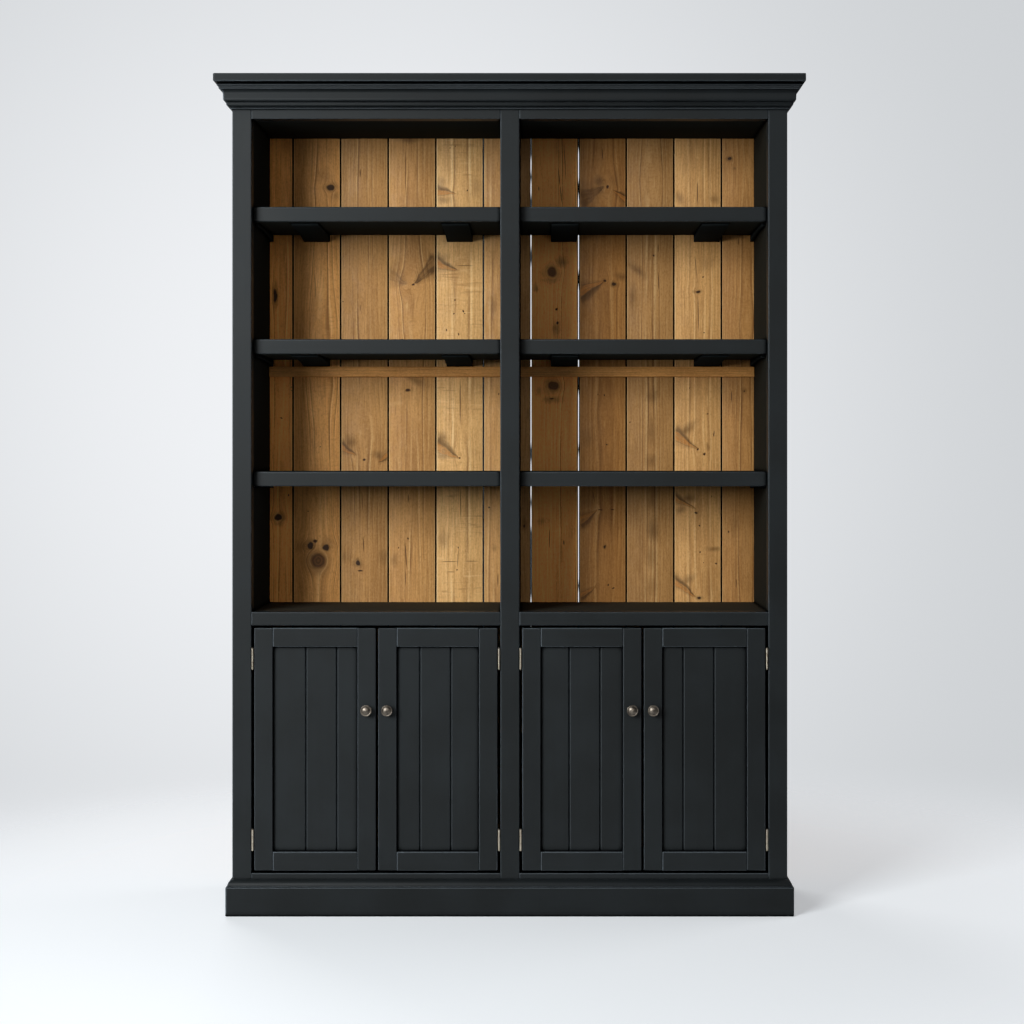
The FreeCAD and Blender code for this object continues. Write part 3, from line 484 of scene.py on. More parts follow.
# heart across the board, depth of the heart, its rise and swing, then how bright the board is
# and how warm; boards 1 and 7 are made brighter as painted light against the shade that the
# side and the divider cast on them
pineGrowth = {
    1: (-0.58, 0.050, 0.006, 0.03, 1.45, 1.0),
    2: (-0.478, 0.030, 0.010, 0.05, 1.08, 0.4),
    3: (-0.372, 0.060, -0.006, 0.03, 0.83, 0.0),
    4: (-0.247, 0.050, 0.008, 0.03, 0.91, 0.0),
    5: (-0.128, 0.090, -0.006, 0.02, 1.34, -0.6),
    6: (-0.030, 0.070, 0.006, 0.02, 0.91, -0.1),
    7: (0.140, 0.050, -0.006, 0.03, 1.7, 0.6),
    8: (0.232, 0.080, 0.006, 0.03, 0.62, 0.8),
    9: (0.350, 0.022, 0.006, 0.04, 0.73, 0.0),
    10: (0.470, 0.080, -0.006, 0.02, 1.13, -0.25),
    11: (0.590, 0.036, 0.010, 0.05, 0.72, 0.3),
}
marking = {
    # the ragged edge of a mark: scale and detail of its noise, and how far it strays
    "ragged": (30.0, 4.0), "stray": 0.016,
    # what is drawn against what was measured
    "spike": 1.5, "darkSpike": 2.3, "smoke": 1.5, "pin": 0.9, "crack": (1.2, 1.1),
    # how the grain parts: its size by the mark, its least stretch and its softness
    "swellFlow": (1.0, 2.4, 1.3), "knotFlow": (1.15, 0.7, 0.12), "spikeFlow": (0.6, 1.6, 0.4),
}


def blot(place, x, z, wide, tall, turn=0.0):
    # how far a point is from the middle of a mark, 1 at its edge
    return vectors("LENGTH", stretched(
        place, (wide / 1000, 50.0, tall / 1000), (x / 1000, 0, z / 1000),
        (0, math.radians(-turn), 0), "TEXTURE"))


def most(masks):
    total = masks[0]
    for mask in masks[1:]:
        total = sums("MAXIMUM", total, mask)
    return total


def partedAt(flow, kind, x, z, size, stretch=0.0):
    larger, least, soft = marking[kind]
    return useGroup(flowRound, {
        "Vector": flow, "Centre": (x / 1000, 0, z / 1000), "Size": size * larger / 1000,
        "Stretch": max(least, stretch), "Soft": soft})["Vector"]


def addKnot(torn, masks, x, z, wide, tall, ringed):
    away = blot(torn, x, z, wide, tall)
    masks["knot"].append(spread(away, 1.15, 0.7, 0, 0.85 if ringed else 0.97))
    masks["smoke"].append(spread(away, 2.6, 0.8, 0, 0.55))
    if ringed:
        waves = sums("FRACT", times(away, 2.6))
        masks["knotRing"].append(times(spread(away, 1.0, 0.86),
                                       spread(waves, 0.1, 0.7, 0.55, 0.1)))


def addSpike(torn, masks, tipX, tipZ, rootX, rootZ, half, dark):
    # a branch cut lengthwise: it widens from its tip, with streaks that fan out from there
    long = math.hypot(rootX - tipX, rootZ - tipZ)
    angle = math.atan2(rootZ - tipZ, rootX - tipX)
    local = stretched(torn, (long / 1000, 50.0, half / 1000),
                      (tipX / 1000, 0, tipZ / 1000), (0, -angle, 0), "TEXTURE")
    part = split(local)
    lean = sums("DIVIDE", part["Z"], sums("MAXIMUM", part["X"], 0.08))
    edge = sums("ABSOLUTE", lean)
    fan = put("CombineXYZ", {0: lean, 1: part["X"], 2: tipX}).outputs[0]
    streak = noise(fan, 2.6, 3.0, 0.6)
    within = times(spread(part["X"], 0.0, 0.12), spread(part["X"], 1.25, 1.05))
    masks["smoke"].append(times(spread(edge, 3.0, 1.2, 0, 0.30), times(
        within, 1.0 if dark else spread(edge, 0.8, 1.1))))
    if dark:
        arm = times(spread(edge, 1.35, 0.65, 0, dark), within)
        masks["smoke"].append(times(arm, spread(streak, 0.34, 0.60, 0.7, 1.0)))
        if dark > 0.9:
            masks["knot"].append(times(arm, spread(streak, 0.3, 0.6, 0.1, 0.35)))
        return
    inside = times(spread(edge, 1.0, 0.72), within)
    rim = times(spread(edge, 0.70, 1.0), spread(edge, 1.45, 1.05), within)
    # amber and dark streaks, darker on the side away from the board's middle
    outward = times(lean, -1 if rootZ > tipZ else 1)
    deep = times(spread(outward, 0.30, 0.85), spread(outward, 2.6, 1.0), within)
    masks["smoke"] += [times(deep, 0.85), times(rim, 0.6),
                       times(inside, spread(streak, 0.52, 0.38, 0, 0.6))]
    masks["knot"].append(times(deep, spread(streak, 0.3, 0.6, 0.0, 0.25)))
    masks["amber"].append(times(inside, spread(deep, 0.3, 0.9, 1, 0),
                                spread(streak, 0.36, 0.60, 0.15, 0.75)))


def markBoard(place, marks):
    # the grain parted round the marks, and what each kind of mark covers
    scale, detail = marking["ragged"]
    cloud = put("TexNoise", {"Vector": place, "Scale": scale, "Detail": detail})
    ragged = vectors("SUBTRACT", cloud.outputs["Color"], (0.5, 0.5, 0.5))
    ragged = put("VectorMath", {0: ragged, "Scale": marking["stray"]},
                 operation="SCALE").outputs[0]
    torn = vectors("ADD", place, ragged)
    flow = place
    masks = {kind: [] for kind in ("smoke", "amber", "pale", "knot", "knotRing", "crack")}
    for x, z, size in marks.get("swell", []):
        flow = partedAt(flow, "swellFlow", x, z, size)
    for x, z, wide, tall, ringed in marks.get("knot", []):
        flow = partedAt(flow, "knotFlow", x, z, wide, tall / wide)
        addKnot(torn, masks, x, z, wide, tall, ringed)
    for *ends, half, dark in marks.get("spike", []):
        half *= marking["darkSpike" if dark else "spike"]
        addSpike(torn, masks, *ends, half, dark)
        flow = partedAt(flow, "spikeFlow", *ends[:2], half)
    for x, z, wide, tall, turn, strength in marks.get("smoke", []):
        away = blot(torn, x, z, wide * marking["smoke"], tall * marking["smoke"], turn)
        masks["smoke" if strength > 0 else "pale"].append(
            spread(away, 1.0, 0.0, 0, abs(strength)))
    for x, z, wide, tall in marks.get("pin", []):
        away = blot(torn, x, z, wide * marking["pin"], tall * marking["pin"])
        masks["crack"].append(spread(away, 1.2, 0.5))
    broader, longer = marking["crack"]
    for x, z, wide, tall, turn in marks.get("crack", []):
        away = blot(place, x, z, wide * broader, tall * longer, turn)
        masks["crack"].append(spread(away, 1.0, 0.45, 0, 0.85))
    return flow, masks


def grainColours(place, grain, body, late, line, pale, saw):
    body = mixed(spread(grain["Band"], *pine["band"]), body, late)
    body = mixed(spread(grain["Cloud"], *pine["cloud"]), body, late)
    body = mixed(times(grain["Late"], pine["lines"]), body, line)
    body = mixed(times(grain["Early"], pine["lines"]), body, pale)
    for layer in ("Fibre", "Mottle"):
        darker, paler = (spread(grain[layer], *reach) for reach in pine[layer])
        body = mixed(darker, body, late)
        body = mixed(paler, body, pale)
    if saw:
        squeeze, *ripples = pine["saw"]
        teeth = noise(stretched(place, squeeze), *ripples)
        cloud, reach = pine["sawn"]
        patch = spread(noise(place, *cloud), *reach)
        for low, high, share, colour in ((0.56, 0.70, 1.0, late), (0.42, 0.30, 0.4, pale)):
            ripple = spread(teeth, low, high, 0, saw * share)
            body = mixed(times(ripple, patch), body, colour)
    return body


def closeJoints(shader, place, body, pale, edges):
    part = split(place)
    # painted shade: the boards are darker under the top
    body = mixed(spread(part["Z"], *pine["topShadeReach"]), body, hue(*pine["top"]))
    # painted shade darkens the joints, where the gaps lie in shadow, and the arrises beside
    # them are paler: painted highlight, strongest on each board's left edge that faces the
    # lamp, patchy as wear
    fromLeft, fromRight = (sums("ABSOLUTE", sums("SUBTRACT", part["X"], edge))
                           for edge in edges)
    inner, outer = pine["arris"]
    litAndWornArris = sums("MAXIMUM", spread(fromLeft, outer, inner),
                  spread(fromRight, outer, inner, 0, 0.55))
    patchy = noise(stretched(place, (1, 1, 0.3)), 30.0)
    litAndWornArris = times(litAndWornArris, spread(patchy, 0.35, 0.6, 0.45, 1.0))
    body = mixed(litAndWornArris, body, pale)
    paintedShade = spread(sums("MINIMUM", fromLeft, fromRight),
                   pine["jointHalf"] * 1.25, pine["jointHalf"] * 0.85)
    feed(shader, {"Specular IOR Level": spread(paintedShade, 0, 1, pine["sheen"], 0.0)})
    return mixed(paintedShade, body, hue(*pine["joint"]))


def pineMaterial(name, marks, growth, edges=(), lengthwise=True):
    material, shader, place = newMaterial(name)
    if not lengthwise:
        place = stretched(place, (1, 1, 1), turn=(0, math.radians(90), 0))
    flow, masks = markBoard(place, marks)
    heart, depth, rise, swing, toneAndLight, warm = growth
    grain = useGroup(pineGrain, {"Vector": flow, "Heart": heart, "Depth": depth,
                                 "Rise": rise, "Swing": swing, "Ring": pine["ring"]})
    redder, bluer = (toneAndLight * (1 + share * warm) for share in pine["warmth"])
    early, late, line, pale = (
        [c * t for c, t in zip(hue(*pine[k]), (redder, toneAndLight, bluer))] + [1]
        for k in ("early", "late", "line", "pale"))
    body = grainColours(place, grain, early, late, line, pale, marks.get("saw"))
    shares = {"smoke": [spread(grain["Cloud"], *pine["drift"])], "pale": [pine["paleTo"]]}
    for kind in ("smoke", "amber", "pale", "knot", "knotRing"):
        if masks[kind]:
            share = times(most(masks[kind]), *shares.get(kind, []))
            body = mixed(share, body, pale if kind == "pale" else hue(*pine[kind]))
    height = plus(times(grain["Late"], pine["lateDeep"]),
                  times(grain["Fibre"], pine["fibreDeep"]))
    if masks["crack"]:
        dark = most(masks["crack"])
        body = mixed(dark, body, hue(*pine["crack"]))
        height = sums("SUBTRACT", height, times(dark, pine["crackDeep"]))
    feed(shader, {"Specular IOR Level": pine["sheen"]})
    if edges:
        body = closeJoints(shader, place, body, pale, edges)
    rough = noise(place, *pine["gloss"])
    feed(shader, {"Base Color": body, "Roughness": spread(rough, 0.3, 0.7, *pine["rough"])})
    bumped(shader, height, pine["bump"])
    return material


metals = {
    "knob": {"dark": (104, 95, 87), "light": (148, 137, 124), "rough": (0.36, 0.46),
             "paintedShade": 0.3},
    "hinge": {"dark": (212, 196, 172), "light": (236, 224, 204), "rough": (0.30, 0.38),
              "paintedShade": 0.8},
    "zinc": {"dark": (150, 152, 154), "light": (190, 192, 194), "rough": (0.26, 0.40),
             "paintedShade": 0.5},
    # what all of them share: noises, paler arrises (wear and painted highlight), painted shade
    # in the corners
    "cloud": (140.0, 4.0, 0.6), "along": 0.06, "brush": (900.0, 2.0),
    "arris": 0.0008, "wornAndLit": 0.5, "cornerShadeColour": (22, 18, 15), "bump": 0.00001,
}


def metalMaterial(name, look):
    material, shader, place = newMaterial(name)
    cloud = noise(place, *metals["cloud"])
    brush = noise(stretched(place, (1, 1, metals["along"])), *metals["brush"])
    edge = useGroup(arrisWearHighlightShade, {"Vector": place, "Radius": metals["arris"]})
    dark, light = hue(*look["dark"]), hue(*look["light"])
    body = mixed(spread(cloud, 0.3, 0.7), dark, light)
    # wear and painted highlight on the arrises that face up and left
    body = mixed(times(edge["WearAndHighlight"], metals["wornAndLit"]), body, light)
    # painted shade in the corners, darkened towards a dark brown
    body = mixed(times(edge["Shade"], look["paintedShade"]), body, hue(*metals["cornerShadeColour"]))
    gloss = plus(times(cloud, 0.6), times(brush, 0.4))
    feed(shader, {"Base Color": body, "Metallic": 1.0,
                  "Roughness": spread(gloss, 0.3, 0.7, *look["rough"])})
    bumped(shader, brush, metals["bump"])
    return material


knobMetal = metalMaterial("aged_pewter", metals["knob"])
hingeMetal = metalMaterial("satin_hinge_metal", metals["hinge"])
zincPlate = metalMaterial("zinc_plate", metals["zinc"])

plastic = {"dark": (62, 44, 31), "light": (74, 53, 38), "rough": (0.42, 0.55),
           "cloud": 40.0, "speck": (900.0, 2.0), "bump": 0.00005}


def plasticMaterial(name):
    material, shader, place = newMaterial(name)
    speck = noise(place, *plastic["speck"])
    cloud = spread(noise(place, plastic["cloud"]), 0.35, 0.65)
    body = mixed(cloud, hue(*plastic["dark"]), hue(*plastic["light"]))
    feed(shader, {"Base Color": body, "Roughness": spread(speck, 0.3, 0.7, *plastic["rough"])})
    bumped(shader, speck, plastic["bump"])
    return material


catchPlastic = plasticMaterial("catch_plastic")
print("materials made")


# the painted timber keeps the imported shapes, with its arrises eased

softened = {"width": 0.0012, "door": 0.0018, "catch": 0.0005, "backRail": 0.0010,
            "segments": 2, "angle": 40, "weld": 0.00001}
grainWays = {
    paintUpright: ["side_left", "divider", "post_left", "post_centre", "post_right"],
    paintRight: ["side_right"],
    paintDeck: ["decks"],
    paintAcross: ["frieze_rails", "middle_rails", "bottom_rails", "top_panels",
                  "cupboard_floors", "cupboard_shelves",
                  *(f"shelf_{bay}_{level}" for bay in ("left", "right")
                    for level in ("lower", "middle", "upper"))],
    paintMould: ["top_board", "cornice_front", "plinth_front"],
    paintStile: [f"door_{n}_stiles" for n in range(1, 5)],
    paintRail: [f"door_{n}_rails" for n in range(1, 5)],
    paintPanel: [f"door_{n}_panel" for n in range(1, 5)],
    paintDeep: ["cornice_return_left", "cornice_return_right", "plinth_return_left",
                "plinth_return_right", "shelf_bearers", "end_cleats", "cupboard_ledgers"],
}


def cover(piece, material):
    piece.data.materials.clear()
    piece.data.materials.append(material)


def dress(node, material, width):
    piece = cadNodes[node]
    cover(piece, material)
    weld = piece.modifiers.new("closeSeams", "WELD")
    weld.merge_threshold = softened["weld"]
    if width:
        ease = piece.modifiers.new("easeArrises", "BEVEL")
        ease.width = width
        ease.segments = softened["segments"]
        ease.limit_method = "ANGLE"
        ease.angle_limit = math.radians(softened["angle"])


for material, names in grainWays.items():
    for name in names:
        # the boards of a panel lie tongue in groove, and have their V joints in the CAD
        plain = name.startswith("side") or name.endswith("_panel")
        framed = name.startswith("door") and not plain
        dress(name, material, 0 if plain else softened["door" if framed else "width"])
dress("door_catches", catchPlastic, softened["catch"])
print("painted timber dressed")


# edit mode helpers

def choose(*pieces):
    bpy.ops.object.select_all(action="DESELECT")
    for piece in pieces:
        piece.select_set(True)
    bpy.context.view_layer.objects.active = pieces[0]


def openUp(piece):
    choose(piece)
    bpy.ops.object.mode_set(mode="EDIT")


def closeUp():
    bpy.ops.object.mode_set(mode="OBJECT")


def pickAll():
    bpy.ops.mesh.select_all(action="SELECT")


def pick(piece, kind, wanted):
    # selects what passes the test, in an open piece
    bpy.ops.mesh.select_mode(type={"verts": "VERT", "edges": "EDGE", "faces": "FACE"}[kind])
    bpy.ops.mesh.select_all(action="DESELECT")
    mesh = bmesh.from_edit_mesh(piece.data)
    for part in getattr(mesh, kind):
        if wanted(part):
            part.select_set(True)
    bmesh.update_edit_mesh(piece.data)


def pullOut(shift):
    bpy.ops.mesh.extrude_region_move(TRANSFORM_OT_translate={"value": shift})


def named(name):
    # the active piece under its own name, with its place and size in its points
    piece = bpy.context.object
    piece.name = piece.data.name = name
    bpy.ops.object.transform_apply(location=True, rotation=True, scale=True)
    return piece


def addBlock(name, low, high, arris=0.0):
    bpy.ops.mesh.primitive_cube_add(size=1, location=[(a + b) / 2 for a, b in zip(low, high)])
    bpy.context.object.scale = [b - a for a, b in zip(low, high)]
    piece = named(name)
    if arris:
        openUp(piece)
        pickAll()
        bpy.ops.mesh.bevel(offset=arris, segments=2, affect="EDGES")
        closeUp()
    return piece


def addTurned(name, foot, way, stations, sides):
    # a round piece pulled out ring by ring, as on a lathe: (how far out, radius)
    way, foot = Vector(way), Vector(foot)
    out, radius = stations[0]
    bpy.ops.mesh.primitive_circle_add(
        vertices=sides, radius=radius, fill_type="NGON", location=foot + way * out,
        rotation=way.to_track_quat("Z", "Y").to_euler())
    piece = named(name)
    openUp(piece)
    pickAll()
    for nextOut, nextRadius in stations[1:]:
        pullOut(way * (nextOut - out))
        bpy.ops.transform.resize(value=[nextRadius / radius] * 3,
                                 center_override=foot + way * nextOut)
        out, radius = nextOut, nextRadius
    pickAll()
    bpy.ops.mesh.remove_doubles(threshold=0.000005)
    bpy.ops.mesh.normals_make_consistent(inside=False)
    closeUp()
    return piece


def joinPieces(name, pieces):
    choose(*pieces)
    bpy.ops.object.join()
    whole = bpy.context.object
    whole.name = whole.data.name = name
    return whole


def finishPiece(piece, material, body, hidden, smooth=35):
    choose(piece)
    bpy.ops.object.shade_smooth_by_angle(angle=math.radians(smooth))
    cover(piece, material)
    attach(piece, body)
    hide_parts(hidden)


def copyOf(piece, name, shift):
    twin = piece.copy()
    twin.data = piece.data.copy()
    twin.name = twin.data.name = name
    bpy.context.scene.collection.objects.link(twin)
    openUp(twin)
    pickAll()
    bpy.ops.transform.translate(value=shift)
    closeUp()
    return twin


# the pine back

backBoards = {
    "firstJoint": -0.5517, "pitch": 0.120, "count": 11, "closed": 0.0005, "opened": 0.0024,
    "openJoints": (5, 6), "arris": 0.0012, "steps": 130,
    # how far an edge swells to touch, how near it is searched, and how far the swelling fades
    "touch": 0.00105, "near": 0.0016, "fade": 0.0075,
    # heights where the two boards of an open joint still touch: middle, half length
    "touching": {5: [(1.868, 0.022), (1.787, 0.006), (1.712, 0.022), (1.591, 0.006),
                     (1.098, 0.009), (0.962, 0.006), (0.818, 0.080), (0.655, 0.035)],
                 6: [(1.878, 0.016), (1.757, 0.006), (1.536, 0.014), (1.1, 0.007),
                     (0.764, 0.004), (1.27, 0.02), (0.655, 0.020)]},
    # how the wood of the two rails grew, as in pineGrowth
    "rail": (-0.37, 0.05, 0.006, 0.03, 1.22, 0.5),
}
backLow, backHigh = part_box("back_boards")
joints = [backBoards["firstJoint"] + backBoards["pitch"] * n
          for n in range(backBoards["count"] - 1)]


def jointHalf(number):
    return backBoards["opened" if number in backBoards["openJoints"] else "closed"] / 2


def upright(edge):
    return abs(edge.verts[0].co.z - edge.verts[1].co.z) > 1


def pineBoard(number):
    left = backLow.x if number == 0 else joints[number - 1] + jointHalf(number - 1)
    right = backHigh.x if number == len(joints) else joints[number] - jointHalf(number)
    piece = addBlock(f"back_board_{number + 1}", (left, backLow.y, backLow.z),
                     (right, backHigh.y, backHigh.z))
    openUp(piece)
    pick(piece, "edges", upright)
    bpy.ops.mesh.bevel(offset=backBoards["arris"], segments=2, affect="EDGES")
    pick(piece, "edges", upright)
    bpy.ops.mesh.subdivide(number_cuts=backBoards["steps"])
    # where an open joint closes, both edges swell towards it
    for joint, side, edge in ((number - 1, -1, left), (number, 1, right)):
        for middle, half in backBoards["touching"].get(joint, []):
            pick(piece, "verts", lambda v: abs(v.co.x - edge) < backBoards["near"]
                 and abs(v.co.z - middle) < half + backBoards["fade"])
            bpy.ops.transform.translate(value=(side * backBoards["touch"], 0, 0))
    closeUp()
    material = pineMaterial(f"waxed_pine_{number + 1}", pineMarks[number + 1],
                            pineGrowth[number + 1], (left, right))
    finishPiece(piece, material, "case", "back_boards", 30)


for number in range(backBoards["count"]):
    pineBoard(number)
railPine = pineMaterial("waxed_pine_rail", {"knot": [(-371, 20, 4, 8, 0)]},
                        backBoards["rail"], lengthwise=False)
dress("back_rails", railPine, softened["backRail"])
print("pine back made")


# knobs, strike plates and hinges

knobForm = {
    # out from the door and radius: foot plate, neck, bell, rim, ring and dome
    "turned": [(0.0, 0.0080), (0.0012, 0.0080), (0.0020, 0.0072), (0.0028, 0.0054),
               (0.0045, 0.0046), (0.0075, 0.0044), (0.0100, 0.0054), (0.0122, 0.0081),
               (0.0140, 0.0113), (0.0152, 0.0127), (0.0164, 0.0134), (0.0175, 0.0133),
               (0.0184, 0.0128), (0.0187, 0.0120), (0.0184, 0.0113), (0.0183, 0.0107),
               (0.0189, 0.0101), (0.0200, 0.0088), (0.0210, 0.0071), (0.0218, 0.0049),
               (0.0224, 0.0023), (0.0225, 0.0005)],
    "sides": 48, "height": 0.485,
}
screwForm = {
    # out from the plate, and what part of the radius
    "turned": [(-0.0006, 0.8), (0.0, 1.0), (0.00025, 0.94), (0.0004, 0.7)], "sides": 24,
    "slotHalf": 0.00035, "slotPick": 0.0003, "slotTilt": (0.0, 0.8, 0.6),
}
hingeForm = {
    "line": -0.1365, "heights": {"lower": 0.178, "upper": 0.6055},
    "knuckle": 0.0028, "leafThick": 0.0016, "leafDeep": 0.017, "wrap": 0.0006,
    "long": 0.050, "gap": 0.0003, "eased": 0.00025, "arris": 0.0003, "knuckleSides": 28,
    "screw": 0.0030,
    # the screws' places on a leaf: out and up from its middle
    "screws": ((-0.0022, -0.018), (0.0022, 0.0), (-0.0022, 0.018)),
    # the pin's half width and what shows of it: neck, ball and end
    "pin": 0.0014, "tip": 0.0018, "neck": 0.0012, "end": 0.0006, "pinSides": 20,
    "ball": ((0.0004, 0.0016), (0.0009, 0.0020), (0.0014, 0.0016)),
}
strikeForm = {"halfWide": 0.018, "halfTall": 0.008, "back": (0.020, 0.0212),
              "arris": 0.0003, "screw": 0.0026, "screwOut": 0.0125}
doorForm = {"wide": {1: 0.2885, 2: 0.283, 3: 0.283, 4: 0.2885}, "hingeGap": 0.006,
            "stile": 0.045, "face": -0.1355}
# where each door hangs, and which way its width runs from there
doorFrom = {1: (-0.610, 1), 2: (-0.0225, -1), 3: (0.0225, 1), 4: (0.610, -1)}


def screwHead(name, place, way, radius):
    # a countersunk head with one slot
    half = screwForm["slotHalf"]
    turned = [(out, radius * share) for out, share in screwForm["turned"]]
    head = addTurned(name, place, way, turned, screwForm["sides"])
    openUp(head)
    way, place = Vector(way), Vector(place)
    side = way.cross(Vector(screwForm["slotTilt"])).normalized()
    for offset in (-half, half):
        pickAll()
        bpy.ops.mesh.bisect(plane_co=place + side * offset, plane_no=side)
    pick(head, "faces", lambda f: f.normal.dot(way) > 0.9
         and abs((f.calc_center_median() - place).dot(side)) < screwForm["slotPick"])
    pullOut(way * -half)
    closeUp()
    return head


def knuckle(name, x, low, high):
    long, wide, eased = high - low, hingeForm["knuckle"], hingeForm["eased"]
    return addTurned(name, (x, hingeForm["line"], low), (0, 0, 1), [
        (0, wide - eased), (eased, wide), (long - eased, wide), (long, wide - eased)],
        hingeForm["knuckleSides"])


def hingePin(name, x, low):
    form = hingeForm
    tip, gap, end, neck, pin = (form[k] for k in ("tip", "gap", "end", "neck", "pin"))
    top = form["long"] + tip
    return addTurned(name, (x, form["line"], low - tip), (0, 0, 1), [
        (0, end), *form["ball"], (tip, neck), (tip + gap, pin), (top - gap, pin),
        (top, neck), *((top + out, radius) for out, radius in form["ball"]),
        (top + tip, end)], form["pinSides"])


def hingeLeaf(name, number, centre, onDoor):
    start, turn = doorFrom[number]
    form, hingeGap = hingeForm, doorForm["hingeGap"]
    long, gap, thick, line = (form[k] for k in ("long", "gap", "leafThick", "line"))
    low, third = centre - long / 2, (long - 2 * gap) / 3
    x = start + turn * hingeGap / 2
    near, far = (hingeGap - thick, hingeGap) if onDoor else (0.0, thick)
    left, right = sorted((start + turn * near, start + turn * far))
    clear, back = line + form["knuckle"] + gap, line + form["leafDeep"]
    pieces = [addBlock(f"{name}_plate", (left, clear, low), (right, back, centre + long / 2),
                       form["arris"])]
    ranges = ([(third + gap, 2 * third + gap)] if onDoor
              else [(0, third), (2 * third + 2 * gap, long)])
    for count, (a, b) in enumerate(ranges):
        pieces += [knuckle(f"{name}_knuckle_{count}", x, low + a, low + b),
                   addBlock(f"{name}_wrap_{count}", (left, line, low + a),
                            (right, clear + form["wrap"], low + b))]
    way = (-turn if onDoor else turn, 0, 0)
    seat = start + turn * (near if onDoor else far)
    for count, (out, up) in enumerate(form["screws"]):
        spot = (seat, (clear + back) / 2 + out, centre + up)
        pieces.append(screwHead(f"{name}_screw_{count}", spot, way, form["screw"]))
    if not onDoor:
        pieces.append(hingePin(f"{name}_pin", x, low))
    return joinPieces(name, pieces)


def strikePlate(name, x, z):
    # it faces the catch from the back of the meeting stile
    form = strikeForm
    near, back = (doorForm["face"] + deep for deep in form["back"])
    plate = addBlock(name, (x - form["halfWide"], near, z - form["halfTall"]),
                     (x + form["halfWide"], back, z + form["halfTall"]), form["arris"])
    screws = [screwHead(f"{name}_screw_{s}", (x + s * form["screwOut"], back, z), (0, 1, 0),
                        form["screw"]) for s in (-1, 1)]
    return joinPieces(name, [plate, *screws])


def makeFittings():
    firstKnob = None
    catchLow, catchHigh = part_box("door_catches")
    for number, (start, turn) in doorFrom.items():
        body = f"door_{number}"
        hidden = f"{body}_fittings"
        out = doorForm["hingeGap"] + doorForm["wide"][number] - doorForm["stile"] / 2
        x = start + turn * out
        spot = Vector((x, doorForm["face"], knobForm["height"]))
        if firstKnob is None:
            firstKnob = knob = addTurned(f"{body}_knob", spot, (0, -1, 0),
                                         knobForm["turned"], knobForm["sides"])
            firstSpot = spot
        else:
            knob = copyOf(firstKnob, f"{body}_knob", spot - firstSpot)
            knob.parent = None
        finishPiece(knob, knobMetal, body, hidden, 50)
        for end, centre in hingeForm["heights"].items():
            leaf = hingeLeaf(f"{body}_leaf_{end}", number, centre, True)
            finishPiece(leaf, hingeMetal, body, hidden)
            fixed = hingeLeaf(f"post_leaf_{number}_{end}", number, centre, False)
            finishPiece(fixed, hingeMetal, "case", "hinge_post_leaves")
        strike = strikePlate(f"{body}_strike", x, (catchLow.z + catchHigh.z) / 2)
        finishPiece(strike, zincPlate, body, hidden)


makeFittings()
print("fittings made")


# floor, lights and camera

stageLook = {
    "size": 60, "under": 0.0002, "rough": 0.9,
    # the floor's colour and glow, and how far from the case it clears into the backdrop
    "floor": (241, 243, 246), "glow": 0.37, "clear": 0.95, "lost": 2.1,
    # the backdrop by how far the view is from its bright middle
    "middle": (-0.10, 1.0, 0.03), "near": (240, 242, 245), "far": (206, 209, 212),
    "reach": (0.04, 0.42), "low": (240, 243, 247), "lowFrom": (-0.16, -0.24),
    # the even light that comes from all round
    "round": (0.95, 0.98, 1.0, 1), "roundPower": 0.06,
}


def makeFloor():
    spot = (0, 0, -stageLook["under"])
    bpy.ops.mesh.primitive_plane_add(size=stageLook["size"], location=spot)
    floor = bpy.context.object
    floor.name = "studio_floor"
    material, shader, place = newMaterial("studio_floor")
    # the floor is washed out to the camera, as in a bright studio
    rays = put("LightPath").outputs
    pale = hue(*stageLook["floor"])
    feed(shader, {"Base Color": pale, "Roughness": stageLook["rough"],
                  "Specular IOR Level": 0.0, "Emission Color": pale,
                  "Emission Strength": times(rays["Is Camera Ray"], stageLook["glow"])})
    fade = spread(vectors("LENGTH", place), stageLook["clear"], stageLook["lost"])
    clear = put("BsdfTransparent")
    seen = put("MixShader", {0: fade, 1: shader.outputs[0], 2: clear.outputs[0]})
    feed(material.node_tree.nodes["Material Output"], {"Surface": seen.outputs[0]})
    floor.data.materials.append(material)


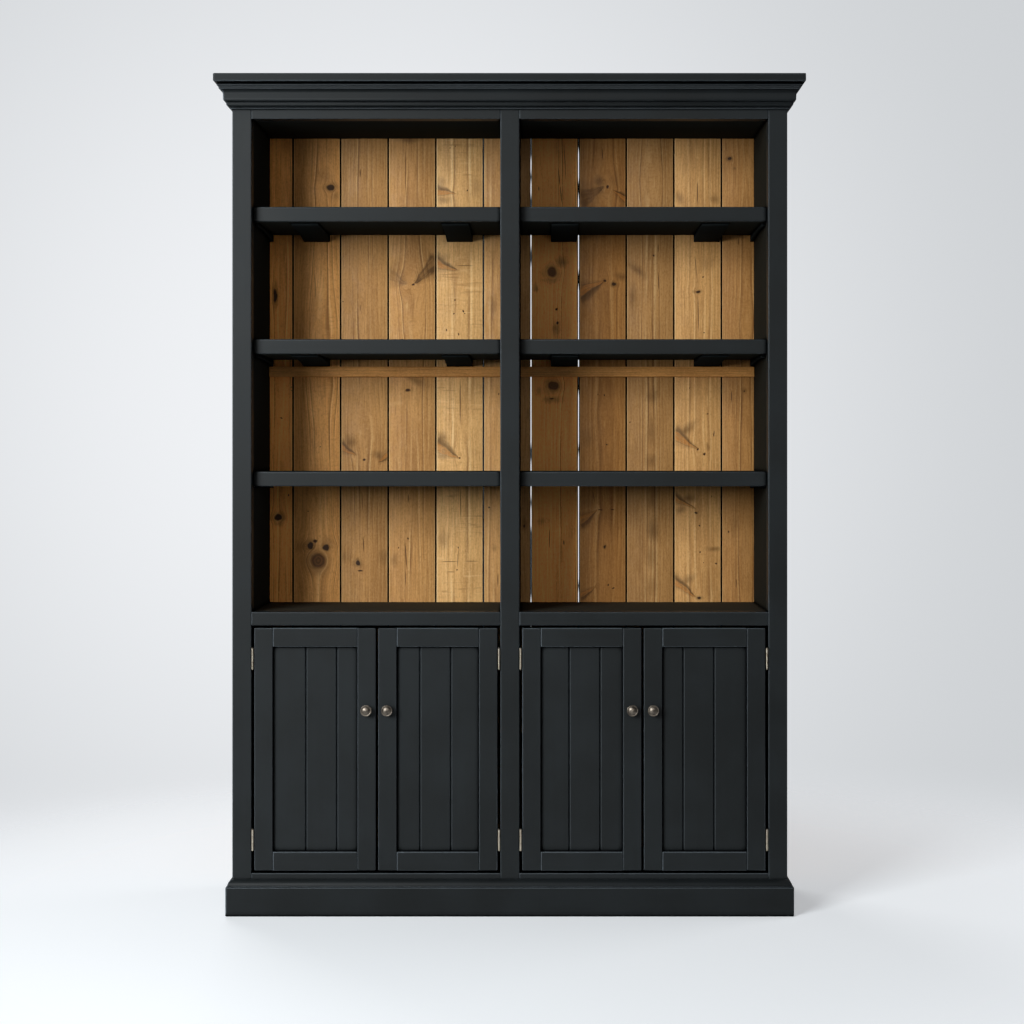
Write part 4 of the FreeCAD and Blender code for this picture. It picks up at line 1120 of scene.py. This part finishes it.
def makeWorld():
    world = bpy.data.worlds.new("studio")
    bpy.context.scene.world = world
    world.use_nodes = True
    current["tree"] = world.node_tree
    world.node_tree.nodes.clear()
    rays = put("LightPath").outputs
    seen = sums("MAXIMUM", rays["Is Camera Ray"], rays["Is Transmission Ray"])
    way = put("TexCoord").outputs["Generated"]
    off = vectors("DISTANCE", way, Vector(stageLook["middle"]).normalized())
    wall = mixed(spread(off, *stageLook["reach"]), hue(*stageLook["near"]),
                 hue(*stageLook["far"]))
    low = spread(split(way)["Z"], *stageLook["lowFrom"])
    wall = mixed(low, wall, hue(*stageLook["low"]))
    soft = put("Background", {0: stageLook["round"], 1: stageLook["roundPower"]})
    plain = put("Background", {0: wall, 1: 1.0})
    both = put("MixShader", {0: seen, 1: soft.outputs[0], 2: plain.outputs[0]})
    put("OutputWorld", {0: both.outputs[0]})


lamps = {
    # place, aim, width, height, power, colour
    "key": ((-2.75, -4.0, 2.25), (-0.1, 0.0, 1.1), 2.1, 2.3, 234, (0.93, 0.982, 1.0)),
    "fill": ((0.6, -5.0, 2.2), (0.0, 0.0, 1.0), 2.2, 2.0, 24, (1.0, 0.98, 0.95)),
    "rear": ((-1.8, 3.4, 2.4), (0.0, 0.17, 1.0), 2.4, 2.0, 60, (1.0, 1.0, 1.0)),
    "side": ((3.2, 1.1, 2.2), (0.65, 0.0, 1.0), 1.8, 2.0, 21, (1.0, 1.0, 1.0)),
}


def makeLamp(name, place, aim, wide, tall, power, colour):
    data = bpy.data.lights.new(name, "AREA")
    data.shape = "RECTANGLE"
    data.size, data.size_y = wide, tall
    data.energy, data.color = power, colour
    lamp = bpy.data.objects.new(name, data)
    bpy.context.scene.collection.objects.link(lamp)
    lamp.location = place
    lamp.rotation_euler = (Vector(aim) - Vector(place)).to_track_quat("-Z", "Y").to_euler()
    lamp.visible_camera = False


view = {"place": (0.076, -4.4355, 1.0816), "turn": (math.radians(90), 0, 0),
        "lens": 64.06, "sensor": 36, "shift": (-30 / 1024, -55 / 1024), "far": 200}


def makeCamera():
    data = bpy.data.cameras.new("view")
    data.lens, data.sensor_width = view["lens"], view["sensor"]
    data.shift_x, data.shift_y = view["shift"]
    data.clip_end = view["far"]
    camera = bpy.data.objects.new("view", data)
    bpy.context.scene.collection.objects.link(camera)
    camera.location = view["place"]
    camera.rotation_euler = view["turn"]
    bpy.context.scene.camera = camera


makeFloor()
makeWorld()
for name, settings in lamps.items():
    makeLamp(name, *settings)
makeCamera()
bpy.context.scene.view_settings.view_transform = "Standard"
print("stage made")
